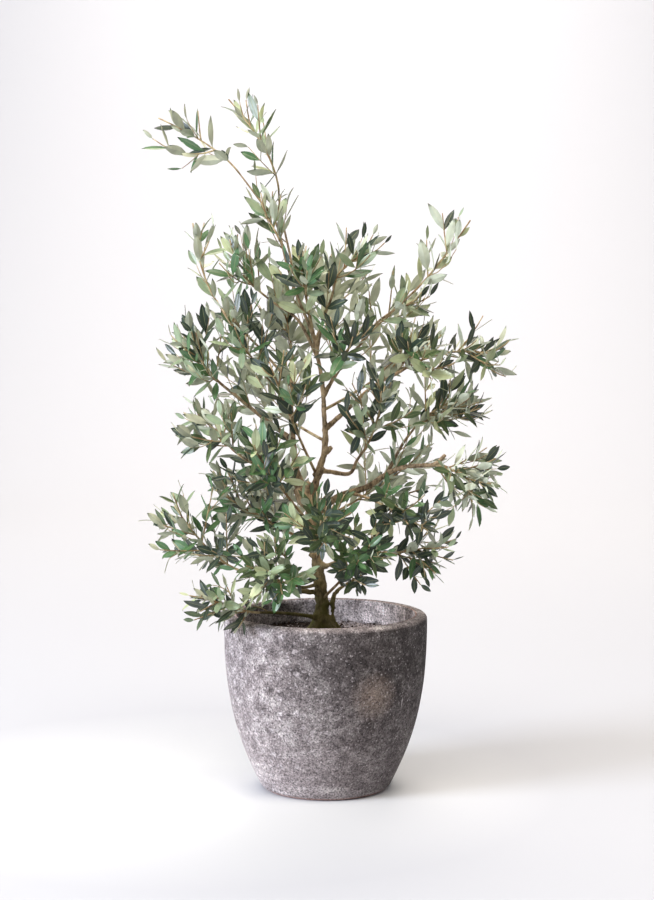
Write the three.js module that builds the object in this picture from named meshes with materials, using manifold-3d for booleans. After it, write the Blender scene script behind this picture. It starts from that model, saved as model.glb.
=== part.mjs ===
// Potted olive tree: a young, many-branched olive in a round earthenware pot with an egg-shaped belly.
// Millimetres, +Z up. The origin is the centre of the pot's flat underside. The broad side of the crown
// faces -Y, with +X to the right of it.
import * as THREE from "three";
import { mergeVertices } from "three/addons/utils/BufferGeometryUtils.js";
import Module from "manifold-3d";

const wasm = await Module();
wasm.setup();

// Driving dimensions
const GAP = 0.3; // clearance left between solids that meet
const POT = {
  rimRadius: 150,
  footRadius: 93, // where the wall's curve would meet the ground
  height: 260,
  bellyHeight: 245, // the wall is upright above this height
  bellyPower: 2.4,
  footRounding: 8,
  footChamfer: [6, 1.5], // out and up from the flat underside
  lipTurns: [45, 90, 135], // degrees round the lip at which its profile has a corner
  wall: 18,
  floor: 22,
  segments: 32,
  wallSteps: 8,
};
const SOIL = { level: 228, flatRadius: 45, edgeDrop: 4, wallSteps: 4 };
const LIMB = { sides: 5, stepLength: 32, fewestSteps: 3, swell: 0.35, swellLength: 2 };
const TWIG = { sides: 3, steps: 1, footRadius: 1.05, tipRadius: 0.75 };
const STEM = {
  steps: 3,
  trunkRadius: 2.4, // of a stem that grows straight from the trunk
  tipRadius: 1.2,
  pastCentre: 0.8, // how far a stem runs on past its space's centre, as a share of the way there
  pastCentreFar: 0.35, // the same for a stem from the trunk, which has come a longer way
  straightOn: 0.35,
  sag: 0.06,
  leavesFrom: 0.4,
};
const SHOOT = {
  first: 0.06,
  last: 0.92,
  spacingPlay: 0.7, // of the way to the next shoot
  length: 124,
  lengths: [0.75, 1.25], // range of chance lengths
  lengthAtTip: 0.75, // of a shoot near the stem's tip, against one at its foot
  lift: [0.02, 0.52], // how far shoots turn up, low on the tree and at its top, as a share of their length
  angleAtFoot: 62, // degrees from the stem
  angleAtTip: 34,
  anglePlay: 20,
  turnPlay: 50,
  sides: 5, // sides of the stem on which a shoot looks for room
  room: 70, // a shoot keeps this far from the tips of others where it can
  shortest: 24,
  shrink: 0.9, // step by which a shoot gets shorter until it fits
  leavesFrom: 0.35,
  leafRoom: 20, // how far inside its space a shoot ends, so that its last leaves fit
};
const LEAF = {
  length: 60,
  width: 21,
  thickness: 1.6,
  sizes: [0.85, 1.12], // range of chance sizes
  sunk: 0.3, // how far past the twig's middle its foot lies
  pairSpacing: 23,
  apart: 18, // nearest that the middles of two leaves come
  shrink: 0.85, // step by which a leaf gets smaller until it fits
  smallest: 0.65,
  angleAtFoot: 54, // degrees from the shoot
  angleAtTip: 14,
  anglePlay: 16,
  turnPlay: 40,
  rollPlay: 110,
  lift: [0.08, 0.5], // low on the tree and at its top
};
const LAST_LEAF = 0.985; // share of a shoot's length at which its last leaf stands
const GOLDEN_ANGLE = 137.5;
const LEAF_SEEDS = 1000; // added to a mass's seed for the draws of its leaves
const SHORTEST_EDGES = [0.15, 0.12, 0.2, 0.09, 0.06, 0.03]; // shorter ones, left by joining, are dropped
const SAME_PLACE = 0.001; // corners nearer than this count as one
const MERGE_WITHIN = 1e-4; // a geometry's corners nearer than this are merged
const UNDER_SOIL = { width: 200, depth: 60 }; // the block that cuts the trunk off flat at the soil
const RISING = [300, 900]; // heights between which growth turns from spreading to upright
const BORDER_RISE = 34; // moves the border between two masses up, as shoots grow up to it from below
const PLAY = 0.6; // how far a leaf keeps from the border of its mass's space
const POT_CLEARANCE = 3;
const LIMB_CLEARANCE = 2;
const BEAD_SPACING = 4; // between the points along a limb that tell what would touch it
const STEM_SAMPLES = 20; // points along a stem that tell where it enters its space
const SHOOT_SAMPLES = 8; // points along a shoot that tell whether it fits
const SHOOT_SAMPLES_SKIPPED = 2; // those at its foot, which lie in the stem
const NEARLY_UPRIGHT = 0.05;

// The trunk, from the soil up through its fork and the thinner leader above it.
const TRUNK = {
  sides: 10,
  steps: 22,
  tipRadius: 2.7,
  taper: 9.4, // how much thicker the foot is than the tip, before its flare
  taperPower: 1.6,
  flare: 13,
  flareHeight: 11,
  buttresses: 5,
  buttressDepth: 0.16,
  knuckle: 3.2, // the swelling where the left limb forks off
  knuckleAt: 0.4,
  knuckleLength: 0.05,
  line: [
    [-4, 0, 218],
    [-5, 0, 270],
    [-10, -2, 320],
    [-16, 0, 372],
    [-21, 2, 422],
    [-12, 4, 462],
    [-1, 4, 505],
    [-2, 2, 550],
    [-5, 8, 600],
    [-13, 10, 645],
    [-20, 8, 680],
  ],
};

// Boughs: the limb each leaves, how far along that limb, the bends it passes, its tip, and its radii there.
const BOUGHS = {
  left_limb: {
    on: "trunk", at: 0.4, radii: [6.4, 2.4],
    line: [[-41, 2, 462], [-48, 18, 514], [-51, 30, 570], [-49, 38, 616]],
  },
  top_left: {
    on: "trunk", at: 0.96, radii: [2.6, 1.4],
    line: [[-42, 0, 728], [-57, 0, 775], [-72, -2, 832], [-98, -4, 868], [-126, -4, 905]],
  },
  top_middle: {
    on: "top_left", at: 0.36, radii: [2.1, 1.5],
    line: [[-50, 14, 775], [-66, 12, 850], [-68, 8, 880]],
  },
  top_neck: {
    on: "top_left", at: 0.3, radii: [1.9, 1.5],
    line: [[-58, -16, 786], [-66, -24, 806]],
  },
  upper_left: {
    on: "trunk", at: 0.88, radii: [2.8, 1.7],
    line: [[-40, 20, 690], [-70, 14, 712], [-88, 6, 726]],
  },
  centre_top: {
    on: "trunk", at: 0.9, radii: [2.8, 1.7],
    line: [[-4, 4, 690], [8, 0, 722], [14, -2, 748]],
  },
  right_upper: {
    on: "trunk", at: 0.76, radii: [3.4, 1.8],
    line: [[20, 20, 618], [46, 30, 648], [66, 32, 672]],
  },
  right_top: {
    on: "right_upper", at: 0.62, radii: [2.3, 1.6],
    line: [[72, 12, 684], [100, 4, 706], [124, 0, 728]],
  },
  right_arch: {
    on: "trunk", at: 0.66, radii: [3.6, 1.7],
    line: [[28, 12, 556], [68, 18, 592], [104, 14, 612], [134, 8, 630], [166, 2, 641]],
  },
  right_inner: {
    on: "right_arch", at: 0.5, radii: [2.2, 1.6],
    line: [[84, -12, 618], [104, -24, 636]],
  },
  right_level: {
    on: "trunk", at: 0.52, radii: [3.9, 2],
    line: [[14, 6, 467], [36, 6, 466], [46, -4, 486], [56, -18, 502]],
  },
  right_main: {
    on: "trunk", at: 0.36, radii: [6, 2.9],
    line: [[18, -14, 433], [60, -26, 449], [86, -33, 467], [112, -40, 479], [156, -50, 484]],
  },
  right_rise: {
    on: "right_main", at: 0.62, radii: [3, 1.8],
    line: [[112, -14, 510], [132, -2, 536]],
  },
  right_under: {
    on: "right_main", at: 0.28, radii: [2.8, 1.8],
    line: [[60, -50, 436], [76, -62, 430]],
  },
  right_low: {
    on: "trunk", at: 0.22, radii: [3.6, 1.8],
    line: [[6, -18, 334], [30, -38, 346], [60, -58, 354], [92, -72, 358]],
  },
  left_high: {
    on: "left_limb", at: 0.88, radii: [2.4, 1.6],
    line: [[-88, 22, 640], [-122, 12, 676], [-150, 8, 706]],
  },
  left_inner: {
    on: "left_limb", at: 0.66, radii: [2.5, 1.7],
    line: [[-70, 4, 588], [-86, -12, 608]],
  },
  left_mid: {
    on: "left_limb", at: 0.5, radii: [3.8, 2.2],
    line: [[-84, 22, 540], [-118, 18, 568], [-152, 12, 596]],
  },
  left_level: {
    on: "left_limb", at: 0.22, radii: [3.4, 1.9],
    line: [[-80, -18, 473], [-112, -36, 488], [-128, -44, 500]],
  },
  left_low: {
    on: "trunk", at: 0.14, radii: [4, 1.9],
    line: [[-52, -34, 300], [-98, -56, 322], [-124, -64, 332]],
  },
  left_low_front: {
    on: "trunk", at: 0.17, radii: [3, 1.9],
    line: [[-30, -42, 304], [-52, -76, 314]],
  },
  left_rim: {
    on: "trunk", at: 0.065, radii: [3.4, 1.9],
    line: [[-46, -38, 264], [-76, -66, 271], [-96, -84, 274]],
  },
};

// Masses of foliage: the bough whose tip each grows from (or where on the trunk), the centre of its space,
// how far it reaches in X, Y and Z, its number of shoots, and the seed of its twigs.
const MASSES = {
  top_spray: {
    bough: "top_middle", centre: [-108, 0, 952], reach: [60, 56, 80], shoots: 4, seed: 11,
  },
  top_left_spray: {
    bough: "top_left", centre: [-190, -6, 948], reach: [80, 56, 60], shoots: 4, seed: 12,
  },
  top_neck_foliage: {
    bough: "top_neck", centre: [-84, -16, 836], reach: [62, 62, 60], shoots: 5, seed: 13,
  },
  left_spire: {
    bough: "left_high", centre: [-174, 5, 776], reach: [40, 46, 72], shoots: 4, seed: 14,
  },
  upper_left_foliage: {
    bough: "upper_left", centre: [-116, -5, 754], reach: [76, 82, 84], shoots: 6, seed: 15,
  },
  centre_upper_foliage: {
    trunkAt: 1, centre: [-30, -24, 738], reach: [76, 82, 80], shoots: 7, seed: 16,
  },
  centre_top_spray: {
    bough: "centre_top", centre: [38, -2, 770], reach: [78, 78, 74], shoots: 4, seed: 17,
  },
  right_top_spray: {
    bough: "right_top", centre: [172, 0, 788], reach: [48, 54, 86], shoots: 3, seed: 18,
  },
  right_upper_foliage: {
    bough: "right_upper", centre: [104, 16, 700], reach: [82, 85, 80], shoots: 6, seed: 19,
  },
  centre_right_foliage: {
    trunkAt: 0.8, centre: [34, -56, 656], reach: [82, 82, 78], shoots: 6, seed: 20,
  },
  right_arch_foliage: {
    bough: "right_arch", centre: [212, 0, 641], reach: [82, 76, 76], shoots: 7, seed: 21,
  },
  right_inner_foliage: {
    bough: "right_inner", centre: [130, -48, 621], reach: [82, 80, 80], shoots: 7, seed: 22,
  },
  left_upper_foliage: {
    bough: "left_mid", centre: [-174, 2, 628], reach: [84, 84, 92], shoots: 8, seed: 23,
  },
  left_inner_foliage: {
    bough: "left_inner", centre: [-120, -42, 664], reach: [82, 82, 84], shoots: 7, seed: 24,
  },
  left_crown: {
    bough: "left_limb", centre: [-60, 50, 680], reach: [80, 88, 82], shoots: 5, seed: 25,
  },
  centre_left_foliage: {
    trunkAt: 0.5, centre: [-62, -74, 590], reach: [80, 82, 78], shoots: 5, seed: 26,
  },
  left_mid_foliage: {
    bough: "left_level", centre: [-150, -30, 530], reach: [80, 86, 80], shoots: 7, seed: 27,
  },
  left_front_foliage: {
    trunkAt: 0.33, centre: [-84, -88, 488], reach: [72, 80, 76], shoots: 5, seed: 28,
  },
  left_low_foliage: {
    bough: "left_low", centre: [-176, -62, 384], reach: [98, 86, 86], shoots: 8, seed: 29,
  },
  left_low_inner_foliage: {
    trunkAt: 0.28, centre: [-122, -24, 424], reach: [84, 82, 80], shoots: 7, seed: 30,
  },
  left_low_front_foliage: {
    bough: "left_low_front", centre: [-78, -104, 333], reach: [88, 82, 76], shoots: 9, seed: 31,
  },
  left_rim_foliage: {
    bough: "left_rim", centre: [-140, -112, 292], reach: [74, 68, 52], shoots: 8, seed: 32,
  },
  centre_low_foliage: {
    trunkAt: 0.24, centre: [-8, -114, 396], reach: [84, 82, 76], shoots: 8, seed: 33,
  },
  right_mid_foliage: {
    bough: "right_level", centre: [72, -48, 556], reach: [82, 85, 84], shoots: 7, seed: 34,
  },
  right_rise_foliage: {
    bough: "right_rise", centre: [160, -4, 556], reach: [88, 86, 84], shoots: 10, seed: 35,
  },
  right_outer_foliage: {
    bough: "right_main", centre: [190, -52, 466], reach: [84, 80, 80], shoots: 8, seed: 36,
  },
  right_under_foliage: {
    bough: "right_under", centre: [114, -96, 412], reach: [86, 82, 78], shoots: 6, seed: 37,
  },
  right_low_foliage: {
    bough: "right_low", centre: [128, -84, 366], reach: [76, 80, 66], shoots: 7, seed: 38,
  },
  centre_right_low_foliage: {
    trunkAt: 0.12, centre: [54, -98, 366], reach: [80, 78, 76], shoots: 8, seed: 39,
  },
  back_top_foliage: {
    trunkAt: 0.94, centre: [8, 92, 724], reach: [88, 88, 82], shoots: 5, seed: 40,
  },
  back_right_foliage: {
    trunkAt: 0.72, centre: [112, 106, 632], reach: [90, 90, 84], shoots: 5, seed: 41,
  },
  back_left_foliage: {
    trunkAt: 0.62, centre: [-96, 122, 572], reach: [90, 90, 84], shoots: 5, seed: 42,
  },
  back_low_right_foliage: {
    trunkAt: 0.34, centre: [100, 92, 456], reach: [92, 92, 84], shoots: 5, seed: 43,
  },
  back_low_left_foliage: {
    trunkAt: 0.3, centre: [-84, 104, 426], reach: [92, 92, 84], shoots: 5, seed: 44,
  },
};

const COLOUR = { pot: "#7d777a", soil: "#3a2c24", bark: "#8a7458", leaf: "#5f7a5c" };

const UP = new THREE.Vector3(0, 0, 1);
const vec = (p) => new THREE.Vector3(...p);
const radians = THREE.MathUtils.degToRad;
const between = (low, high, share) => low + (high - low) * share;

// How upright a mass grows: 0 for the lowest masses, 1 at the top of the tree.
const uprightness = ({ centre }) =>
  THREE.MathUtils.clamp(THREE.MathUtils.inverseLerp(...RISING, centre[2]), 0, 1);

// The minimal standard generator, which gives the same numbers on any machine.
function seededRandom(seed) {
  let state = (seed * 7919) % 2147483647;
  return () => {
    state = (state * 16807) % 2147483647;
    return state / 2147483647;
  };
}

// A closed solid from a geometry, with shared corners merged and empty triangles dropped.
function solidOf(geometry) {
  const bare = geometry.clone();
  for (const name of Object.keys(bare.attributes)) {
    if (name !== "position") bare.deleteAttribute(name);
  }
  const merged = mergeVertices(bare, MERGE_WITHIN);
  const corners = merged.index.array;
  const kept = [];
  for (let i = 0; i < corners.length; i += 3) {
    const [a, b, c] = corners.subarray(i, i + 3);
    if (a !== b && b !== c && c !== a) kept.push(a, b, c);
  }
  const mesh = new wasm.Mesh({
    numProp: 3,
    vertProperties: merged.attributes.position.array,
    triVerts: new Uint32Array(kept),
  });
  return new wasm.Manifold(mesh);
}

function geometryOf(solid) {
  const mesh = solid.getMesh();
  const geometry = new THREE.BufferGeometry();
  geometry.setAttribute("position", new THREE.BufferAttribute(mesh.vertProperties, 3));
  geometry.setIndex(new THREE.BufferAttribute(mesh.triVerts, 1));
  return geometry;
}

// The largest of a solid's separate pieces, without edges shorter than the given length.
function largestPiece(solid, shortestEdge) {
  const pieces = solid.asOriginal().simplify(shortestEdge).decompose();
  return pieces.reduce((best, piece) => (piece.volume() > best.volume() ? piece : best));
}

// Whether two corners of the solid share a place, where it would touch itself.
function isPinched(solid) {
  const corners = geometryOf(solid).attributes.position;
  const placeOf = (_, i) =>
    new THREE.Vector3().fromBufferAttribute(corners, i).divideScalar(SAME_PLACE).round();
  const places = Array.from({ length: corners.count }, placeOf);
  return new Set(places.map((place) => place.toArray().join())).size < corners.count;
}

// The solid's largest piece with as few short edges as it can have without touching itself.
function tidied(solid) {
  const choices = SHORTEST_EDGES.map((shortest) => largestPiece(solid, shortest));
  return choices.find((choice) => !isPinched(choice)) ?? choices[0];
}

function joined(solids) {
  return solids.reduce((whole, next) => whole.add(next));
}

// Turns a profile of [radius, height] points about the upright axis.
function turned(profile, segments) {
  const points = profile.map(([radius, height]) => new THREE.Vector2(radius, height));
  return new THREE.LatheGeometry(points, segments).rotateX(Math.PI / 2);
}

// Pot and soil
function potRadius(height) {
  const below = Math.max(0, (POT.bellyHeight - height) / POT.bellyHeight);
  return POT.rimRadius - (POT.rimRadius - POT.footRadius) * below ** POT.bellyPower;
}

function potWall(low, high, inset, steps = POT.wallSteps) {
  return Array.from({ length: steps + 1 }, (_, i) => {
    const height = between(low, high, i / steps);
    return [potRadius(height) - inset, height];
  });
}

function potSolid() {
  const lip = POT.wall / 2;
  const lipCentre = POT.rimRadius - lip;
  const shoulder = POT.height - lip;
  const lipArc = POT.lipTurns.map((turn) => [
    lipCentre + lip * Math.cos(radians(turn)),
    shoulder + lip * Math.sin(radians(turn)),
  ]);
  const outside = potWall(POT.footRounding, shoulder, 0);
  const inside = potWall(POT.floor, shoulder, POT.wall).reverse();
  const flat = POT.footRadius - POT.footRounding;
  const [out, up] = POT.footChamfer;
  const profile = [[0, 0], [flat, 0], [flat + out, up], ...outside, ...lipArc, ...inside, [0, POT.floor]];
  return solidOf(turned(profile, POT.segments));
}

function soilSolid() {
  const edge = SOIL.level - SOIL.edgeDrop;
  const side = potWall(POT.floor + GAP, edge, POT.wall + 2 * GAP, SOIL.wallSteps);
  const profile = [[0, POT.floor + GAP], ...side, [SOIL.flatRadius, SOIL.level], [0, SOIL.level]];
  return solidOf(turned(profile, POT.segments));
}

// Limbs
function curveThrough(points) {
  return new THREE.CatmullRomCurve3(points, false, "catmullrom", 0.5);
}

// A tapering limb: a cylinder's rings carried along the curve, each at its own radius.
function limbGeometry(curve, radiusAt, sides, steps) {
  const geometry = new THREE.CylinderGeometry(1, 1, 1, sides, steps);
  const frames = curve.computeFrenetFrames(steps, false);
  const position = geometry.attributes.position;
  for (let i = 0; i < position.count; i++) {
    const ring = Math.round((position.getY(i) + 0.5) * steps);
    const [across, along] = [position.getX(i), -position.getZ(i)];
    const radius = radiusAt(ring / steps, Math.atan2(along, across));
    const corner = curve.getPointAt(ring / steps);
    corner.addScaledVector(frames.normals[ring], radius * across);
    corner.addScaledVector(frames.binormals[ring], radius * along);
    position.setXYZ(i, corner.x, corner.y, corner.z);
  }
  return geometry;
}

function trunkRadius(share, angle, height) {
  const plain = TRUNK.tipRadius + TRUNK.taper * (1 - share) ** TRUNK.taperPower;
  const knuckle = TRUNK.knuckle * Math.exp(-(((share - TRUNK.knuckleAt) / TRUNK.knuckleLength) ** 2));
  const foot = Math.exp(-Math.max(0, height - SOIL.level) / TRUNK.flareHeight);
  const lobes = 1 + TRUNK.buttressDepth * foot * Math.cos(TRUNK.buttresses * angle);
  return (plain + knuckle + TRUNK.flare * foot) * lobes;
}

function trunkLimb() {
  const curve = curveThrough(TRUNK.line.map(vec));
  const radiusAt = (share, angle = 0) => trunkRadius(share, angle, curve.getPointAt(share).z);
  return { curve, radiusAt, sides: TRUNK.sides, steps: TRUNK.steps };
}

function boughLimb(bough, limbs) {
  const start = limbs[bough.on].curve.getPoint(bough.at);
  const curve = curveThrough([start, ...bough.line.map(vec)]);
  const [foot, tip] = bough.radii;
  const swellLength = LIMB.swellLength * foot;
  const swell = (share) => LIMB.swell * foot * Math.exp((-share * curve.getLength()) / swellLength);
  const radiusAt = (share) => between(foot, tip, share) + swell(share);
  const steps = Math.max(LIMB.fewestSteps, Math.round(curve.getLength() / LIMB.stepLength));
  return { curve, radiusAt, sides: LIMB.sides, steps };
}

// The limb as a solid, thickened by the clearance that its neighbours keep from it.
function limbSolid(limb, extra = 0) {
  const radiusAt = (share, angle) => limb.radiusAt(share, angle) + extra;
  return solidOf(limbGeometry(limb.curve, radiusAt, limb.sides, limb.steps));
}

// Points along a limb with its radius there, for telling what would touch it.
function beadsOf(curve, radiusAt, spacing = BEAD_SPACING) {
  const count = Math.ceil(curve.getLength() / spacing);
  return Array.from({ length: count + 1 }, (_, i) => ({
    point: curve.getPointAt(i / count),
    radius: radiusAt(i / count),
  }));
}

// The space of a mass: inside its ellipsoid, clear of the pot, on its own side of a plane to each other mass.
function makeSpace(mass) {
  const centre = vec(mass.centre);
  const size = (reach) => Math.max(...reach);
  const planes = Object.values(MASSES)
    .filter((other) => other !== mass)
    .map((other) => {
      const towards = vec(other.centre).sub(centre);
      const distance = towards.length();
      const power = size(mass.reach) ** 2 - size(other.reach) ** 2 + BORDER_RISE * towards.z;
      return { normal: towards.normalize(), border: (distance * distance + power) / (2 * distance) };
    });
  return (point, margin = 0) => {
    const offset = point.clone().sub(centre);
    const [x, y, z] = mass.reach.map((reach, axis) => offset.getComponent(axis) / (reach - margin));
    if (x * x + y * y + z * z > 1) return false;
    if (planes.some((plane) => plane.normal.dot(offset) > plane.border - PLAY - margin)) return false;
    return clearOfPot(point);
  };
}

function clearOfPot(point) {
  const radial = Math.hypot(point.x, point.y);
  if (radial > POT.rimRadius + POT_CLEARANCE) return point.z > POT_CLEARANCE;
  if (radial < POT.rimRadius - POT.wall - POT_CLEARANCE) return point.z > SOIL.level + POT_CLEARANCE;
  return point.z > POT.height + POT_CLEARANCE;
}

// A unit vector square to the axis, at the given angle round it.
function sideways(axis, angle) {
  const level = new THREE.Vector3().crossVectors(axis, UP);
  if (level.length() < NEARLY_UPRIGHT) level.set(1, 0, 0);
  level.normalize();
  const other = new THREE.Vector3().crossVectors(axis, level);
  return level.multiplyScalar(Math.cos(radians(angle))).addScaledVector(other, Math.sin(radians(angle)));
}

// A twig's path: straight between a few points of a curve, as its solid is, so what grows on it joins it.
function twigPath(from, bend, to, steps) {
  const points = new THREE.QuadraticBezierCurve3(from, bend, to).getSpacedPoints(steps);
  const path = new THREE.CurvePath();
  for (let i = 0; i < steps; i++) path.add(new THREE.LineCurve3(points[i], points[i + 1]));
  return path;
}

// A unit vector that leans from the axis by one angle, towards another angle round it.
function leaning(axis, lean, round) {
  const along = axis.clone().multiplyScalar(Math.cos(radians(lean)));
  return along.addScaledVector(sideways(axis, round), Math.sin(radians(lean)));
}

// Stem of a mass: from the bough's tip, or from within the trunk, through the space's middle and on.
function stemOf(mass, limbs) {
  const limb = limbs[mass.bough ?? "trunk"];
  const fromTip = mass.bough || mass.trunkAt === 1;
  const start = limb.curve.getPoint(fromTip ? 1 : mass.trunkAt);
  const centre = vec(mass.centre);
  const past = fromTip ? STEM.pastCentre : STEM.pastCentreFar;
  const end = centre.clone().addScaledVector(centre.clone().sub(start), past);
  const length = start.distanceTo(end);
  const bend = start.clone().add(end).multiplyScalar(0.5).addScaledVector(UP, -STEM.sag * length);
  if (fromTip) {
    const leaving = limb.curve.getTangentAt(1);
    start.addScaledVector(leaving, GAP);
    bend.copy(start).addScaledVector(leaving, STEM.straightOn * length);
  }
  const foot = fromTip ? limb.radiusAt(1) : STEM.trunkRadius;
  return {
    path: twigPath(start, bend, end, STEM.steps),
    radiusAt: (share) => between(foot, STEM.tipRadius, share),
  };
}

// The longest shoot up to a length that fits in the mass's space from a start, outwards and then up, or null.
function fittedShoot(start, out, longest, lift, isInside, isClear) {
  for (let length = longest; length > SHOOT.shortest; length *= SHOOT.shrink) {
    const bend = start.clone().addScaledVector(out, length * 0.5);
    const end = start.clone().addScaledVector(out, length).addScaledVector(UP, length * lift);
    const path = twigPath(start, bend, end, TWIG.steps);
    const points = path.getSpacedPoints(SHOOT_SAMPLES).slice(SHOOT_SAMPLES_SKIPPED);
    const fits = (point) => isInside(point, TWIG.footRadius) && isClear(point, TWIG.footRadius);
    if (isInside(end, SHOOT.leafRoom) && points.every(fits)) return path;
  }
  return null;
}

// The seeded rule for a mass's shoots: they leave the stem in a spiral, lean outwards and then turn up. Each
// takes the side of the stem where it grows longest and furthest from the tips of those before it.
function shootsOf(mass, stem, isInside, isClear) {
  const random = seededRandom(mass.seed);
  const lift = between(...SHOOT.lift, uprightness(mass));
  const shoots = [];
  const stemPoints = stem.path.getSpacedPoints(STEM_SAMPLES);
  const entry = stemPoints.findIndex((point) => isInside(point)) / STEM_SAMPLES;
  for (let i = 0; i < mass.shoots; i++) {
    const place = (i + SHOOT.spacingPlay * random()) / mass.shoots;
    const along = between(Math.max(entry, SHOOT.first), SHOOT.last, place);
    const round = i * GOLDEN_ANGLE + SHOOT.turnPlay * (random() - 0.5);
    const angle = between(SHOOT.angleAtFoot, SHOOT.angleAtTip, along) + SHOOT.anglePlay * (random() - 0.5);
    const length = SHOOT.length * between(1, SHOOT.lengthAtTip, along) * between(...SHOOT.lengths, random());
    const start = stem.path.getPoint(along);
    const axis = stem.path.getTangent(along);
    const tips = [...shoots, stem.path].map((shoot) => shoot.getPoint(1));
    let best = null;
    let bestScore = 0;
    for (let side = 0; side < SHOOT.sides; side++) {
      const out = leaning(axis, angle, round + (side * 360) / SHOOT.sides);
      const path = fittedShoot(start, out, length, lift, isInside, isClear);
      if (!path) continue;
      const nearest = Math.min(...tips.map((tip) => tip.distanceTo(path.getPoint(1))));
      const score = path.getLength() + Math.min(nearest, SHOOT.room);
      if (score > bestScore) [best, bestScore] = [path, score];
    }
    if (best) shoots.push(best);
  }
  return shoots;
}

// A leaf: a flat six-faced blade from its root, sunk in the twig, to its tip.
function leafGeometry(leaf) {
  const across = new THREE.Vector3().crossVectors(leaf.face, leaf.along);
  const blade = new THREE.SphereGeometry(1, 3, 2); // two tips, and a triangle round the middle
  const place = new THREE.Matrix4().makeBasis(
    leaf.face.clone().multiplyScalar(LEAF.thickness / 1.5),
    leaf.along.clone().multiplyScalar(leaf.size / 2),
    across.multiplyScalar((LEAF.width * leaf.size) / LEAF.length / Math.sqrt(3)),
  );
  const middle = leaf.root.clone().addScaledVector(leaf.along, leaf.size / 2 - LEAF.sunk);
  return blade.applyMatrix4(place.setPosition(middle));
}

// Points over a leaf, for telling whether it fits. Its foot lies in its own twig.
const LEAF_TEST_SHARES = [0.15, 0.3, 0.45, 0.6, 0.75, 0.9, 1];
function leafPoints(leaf) {
  const across = new THREE.Vector3().crossVectors(leaf.face, leaf.along);
  const halfWidth = (LEAF.width * leaf.size) / LEAF.length / 2;
  return LEAF_TEST_SHARES.flatMap((share) => {
    const side = halfWidth * (1 - Math.abs(2 * share - 1));
    return [-side, 0, side].map((offset) =>
      leaf.root.clone().addScaledVector(leaf.along, leaf.size * share).addScaledVector(across, offset),
    );
  });
}

// Leaves in pairs along a shoot, each pair turned a quarter from the last, with one more at the tip.
function leavesOn(path, first, lift, random) {
  const leaves = [];
  const pairs = Math.max(1, Math.round((path.getLength() * (1 - first)) / LEAF.pairSpacing));
  for (let k = 0; k <= pairs; k++) {
    const share = between(first, LAST_LEAF, k / pairs);
    const axis = path.getTangent(share);
    const round = k * 90 + LEAF.turnPlay * (random() - 0.5);
    for (const turn of k < pairs ? [0, 180] : [0]) {
      const angle = between(LEAF.angleAtFoot, LEAF.angleAtTip, k / pairs) + LEAF.anglePlay * (random() - 0.5);
      const size = LEAF.length * between(...LEAF.sizes, random());
      const along = leaning(axis, angle, round + turn).addScaledVector(UP, lift).normalize();
      const face = axis.clone().addScaledVector(along, -axis.dot(along)).normalize();
      face.applyAxisAngle(along, radians(LEAF.rollPlay * (random() - 0.5)));
      leaves.push({ root: path.getPoint(share), along, face, size });
    }
  }
  return leaves;
}

// The leaf made smaller until it fits, or nothing.
function fittedLeaf(leaf, isInside, isClear) {
  for (let size = leaf.size; size > leaf.size * LEAF.smallest; size *= LEAF.shrink) {
    const smaller = { ...leaf, size };
    if (leafPoints(smaller).every((point) => isInside(point, 0) && isClear(point, 0))) return smaller;
  }
  return null;
}

// Leaves whose middles keep apart, so that they spread evenly through the mass.
function spacedOut(leaves) {
  const middle = (leaf) => leaf.root.clone().addScaledVector(leaf.along, leaf.size / 2);
  const kept = [];
  for (const leaf of leaves) {
    if (kept.every((other) => middle(other).distanceTo(middle(leaf)) > LEAF.apart)) kept.push(leaf);
  }
  return kept;
}

function foliageSolid(mass, stem, shoots, isInside, isClear) {
  const random = seededRandom(mass.seed + LEAF_SEEDS);
  const shootRadius = (share) => between(TWIG.footRadius, TWIG.tipRadius, share);
  const twigs = shoots.map((path) => solidOf(limbGeometry(path, shootRadius, TWIG.sides, TWIG.steps)));
  const lift = between(...LEAF.lift, uprightness(mass));
  const leaves = shoots.flatMap((path) => leavesOn(path, SHOOT.leavesFrom, lift, random));
  leaves.push(...leavesOn(stem.path, STEM.leavesFrom, lift, random));
  const fitted = leaves.map((leaf) => fittedLeaf(leaf, isInside, isClear)).filter((leaf) => leaf !== null);
  const blades = spacedOut(fitted).map((leaf) => solidOf(leafGeometry(leaf)));
  const stemSolid = solidOf(limbGeometry(stem.path, stem.radiusAt, TWIG.sides, STEM.steps));
  return joined([stemSolid, ...twigs, ...blades]);
}

// The whole plant
const tree = new THREE.Group();

function addMesh(name, solid, colour, roughness) {
  const material = new THREE.MeshStandardMaterial({ color: colour, roughness, metalness: 0 });
  const mesh = new THREE.Mesh(geometryOf(solid), material);
  mesh.name = name;
  tree.add(mesh);
}

const limbs = { trunk: trunkLimb() };
for (const [name, bough] of Object.entries(BOUGHS)) limbs[name] = boughLimb(bough, limbs);

const { width, depth } = UNDER_SOIL;
const underSoil = new THREE.BoxGeometry(width, width, depth).translate(0, 0, SOIL.level + GAP - depth / 2);
addMesh("pot", potSolid(), COLOUR.pot, 0.85);
addMesh("soil", soilSolid(), COLOUR.soil, 0.95);

const keptClear = []; // every limb so far, thickened by the clearance
for (const [name, limb] of Object.entries(limbs)) {
  let solid = limbSolid(limb).subtract(solidOf(underSoil));
  for (const earlier of keptClear) solid = solid.subtract(earlier);
  addMesh(name === "trunk" ? name : "bough_" + name, tidied(solid), COLOUR.bark, 0.9);
  keptClear.push(limbSolid(limb, GAP));
}

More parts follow.
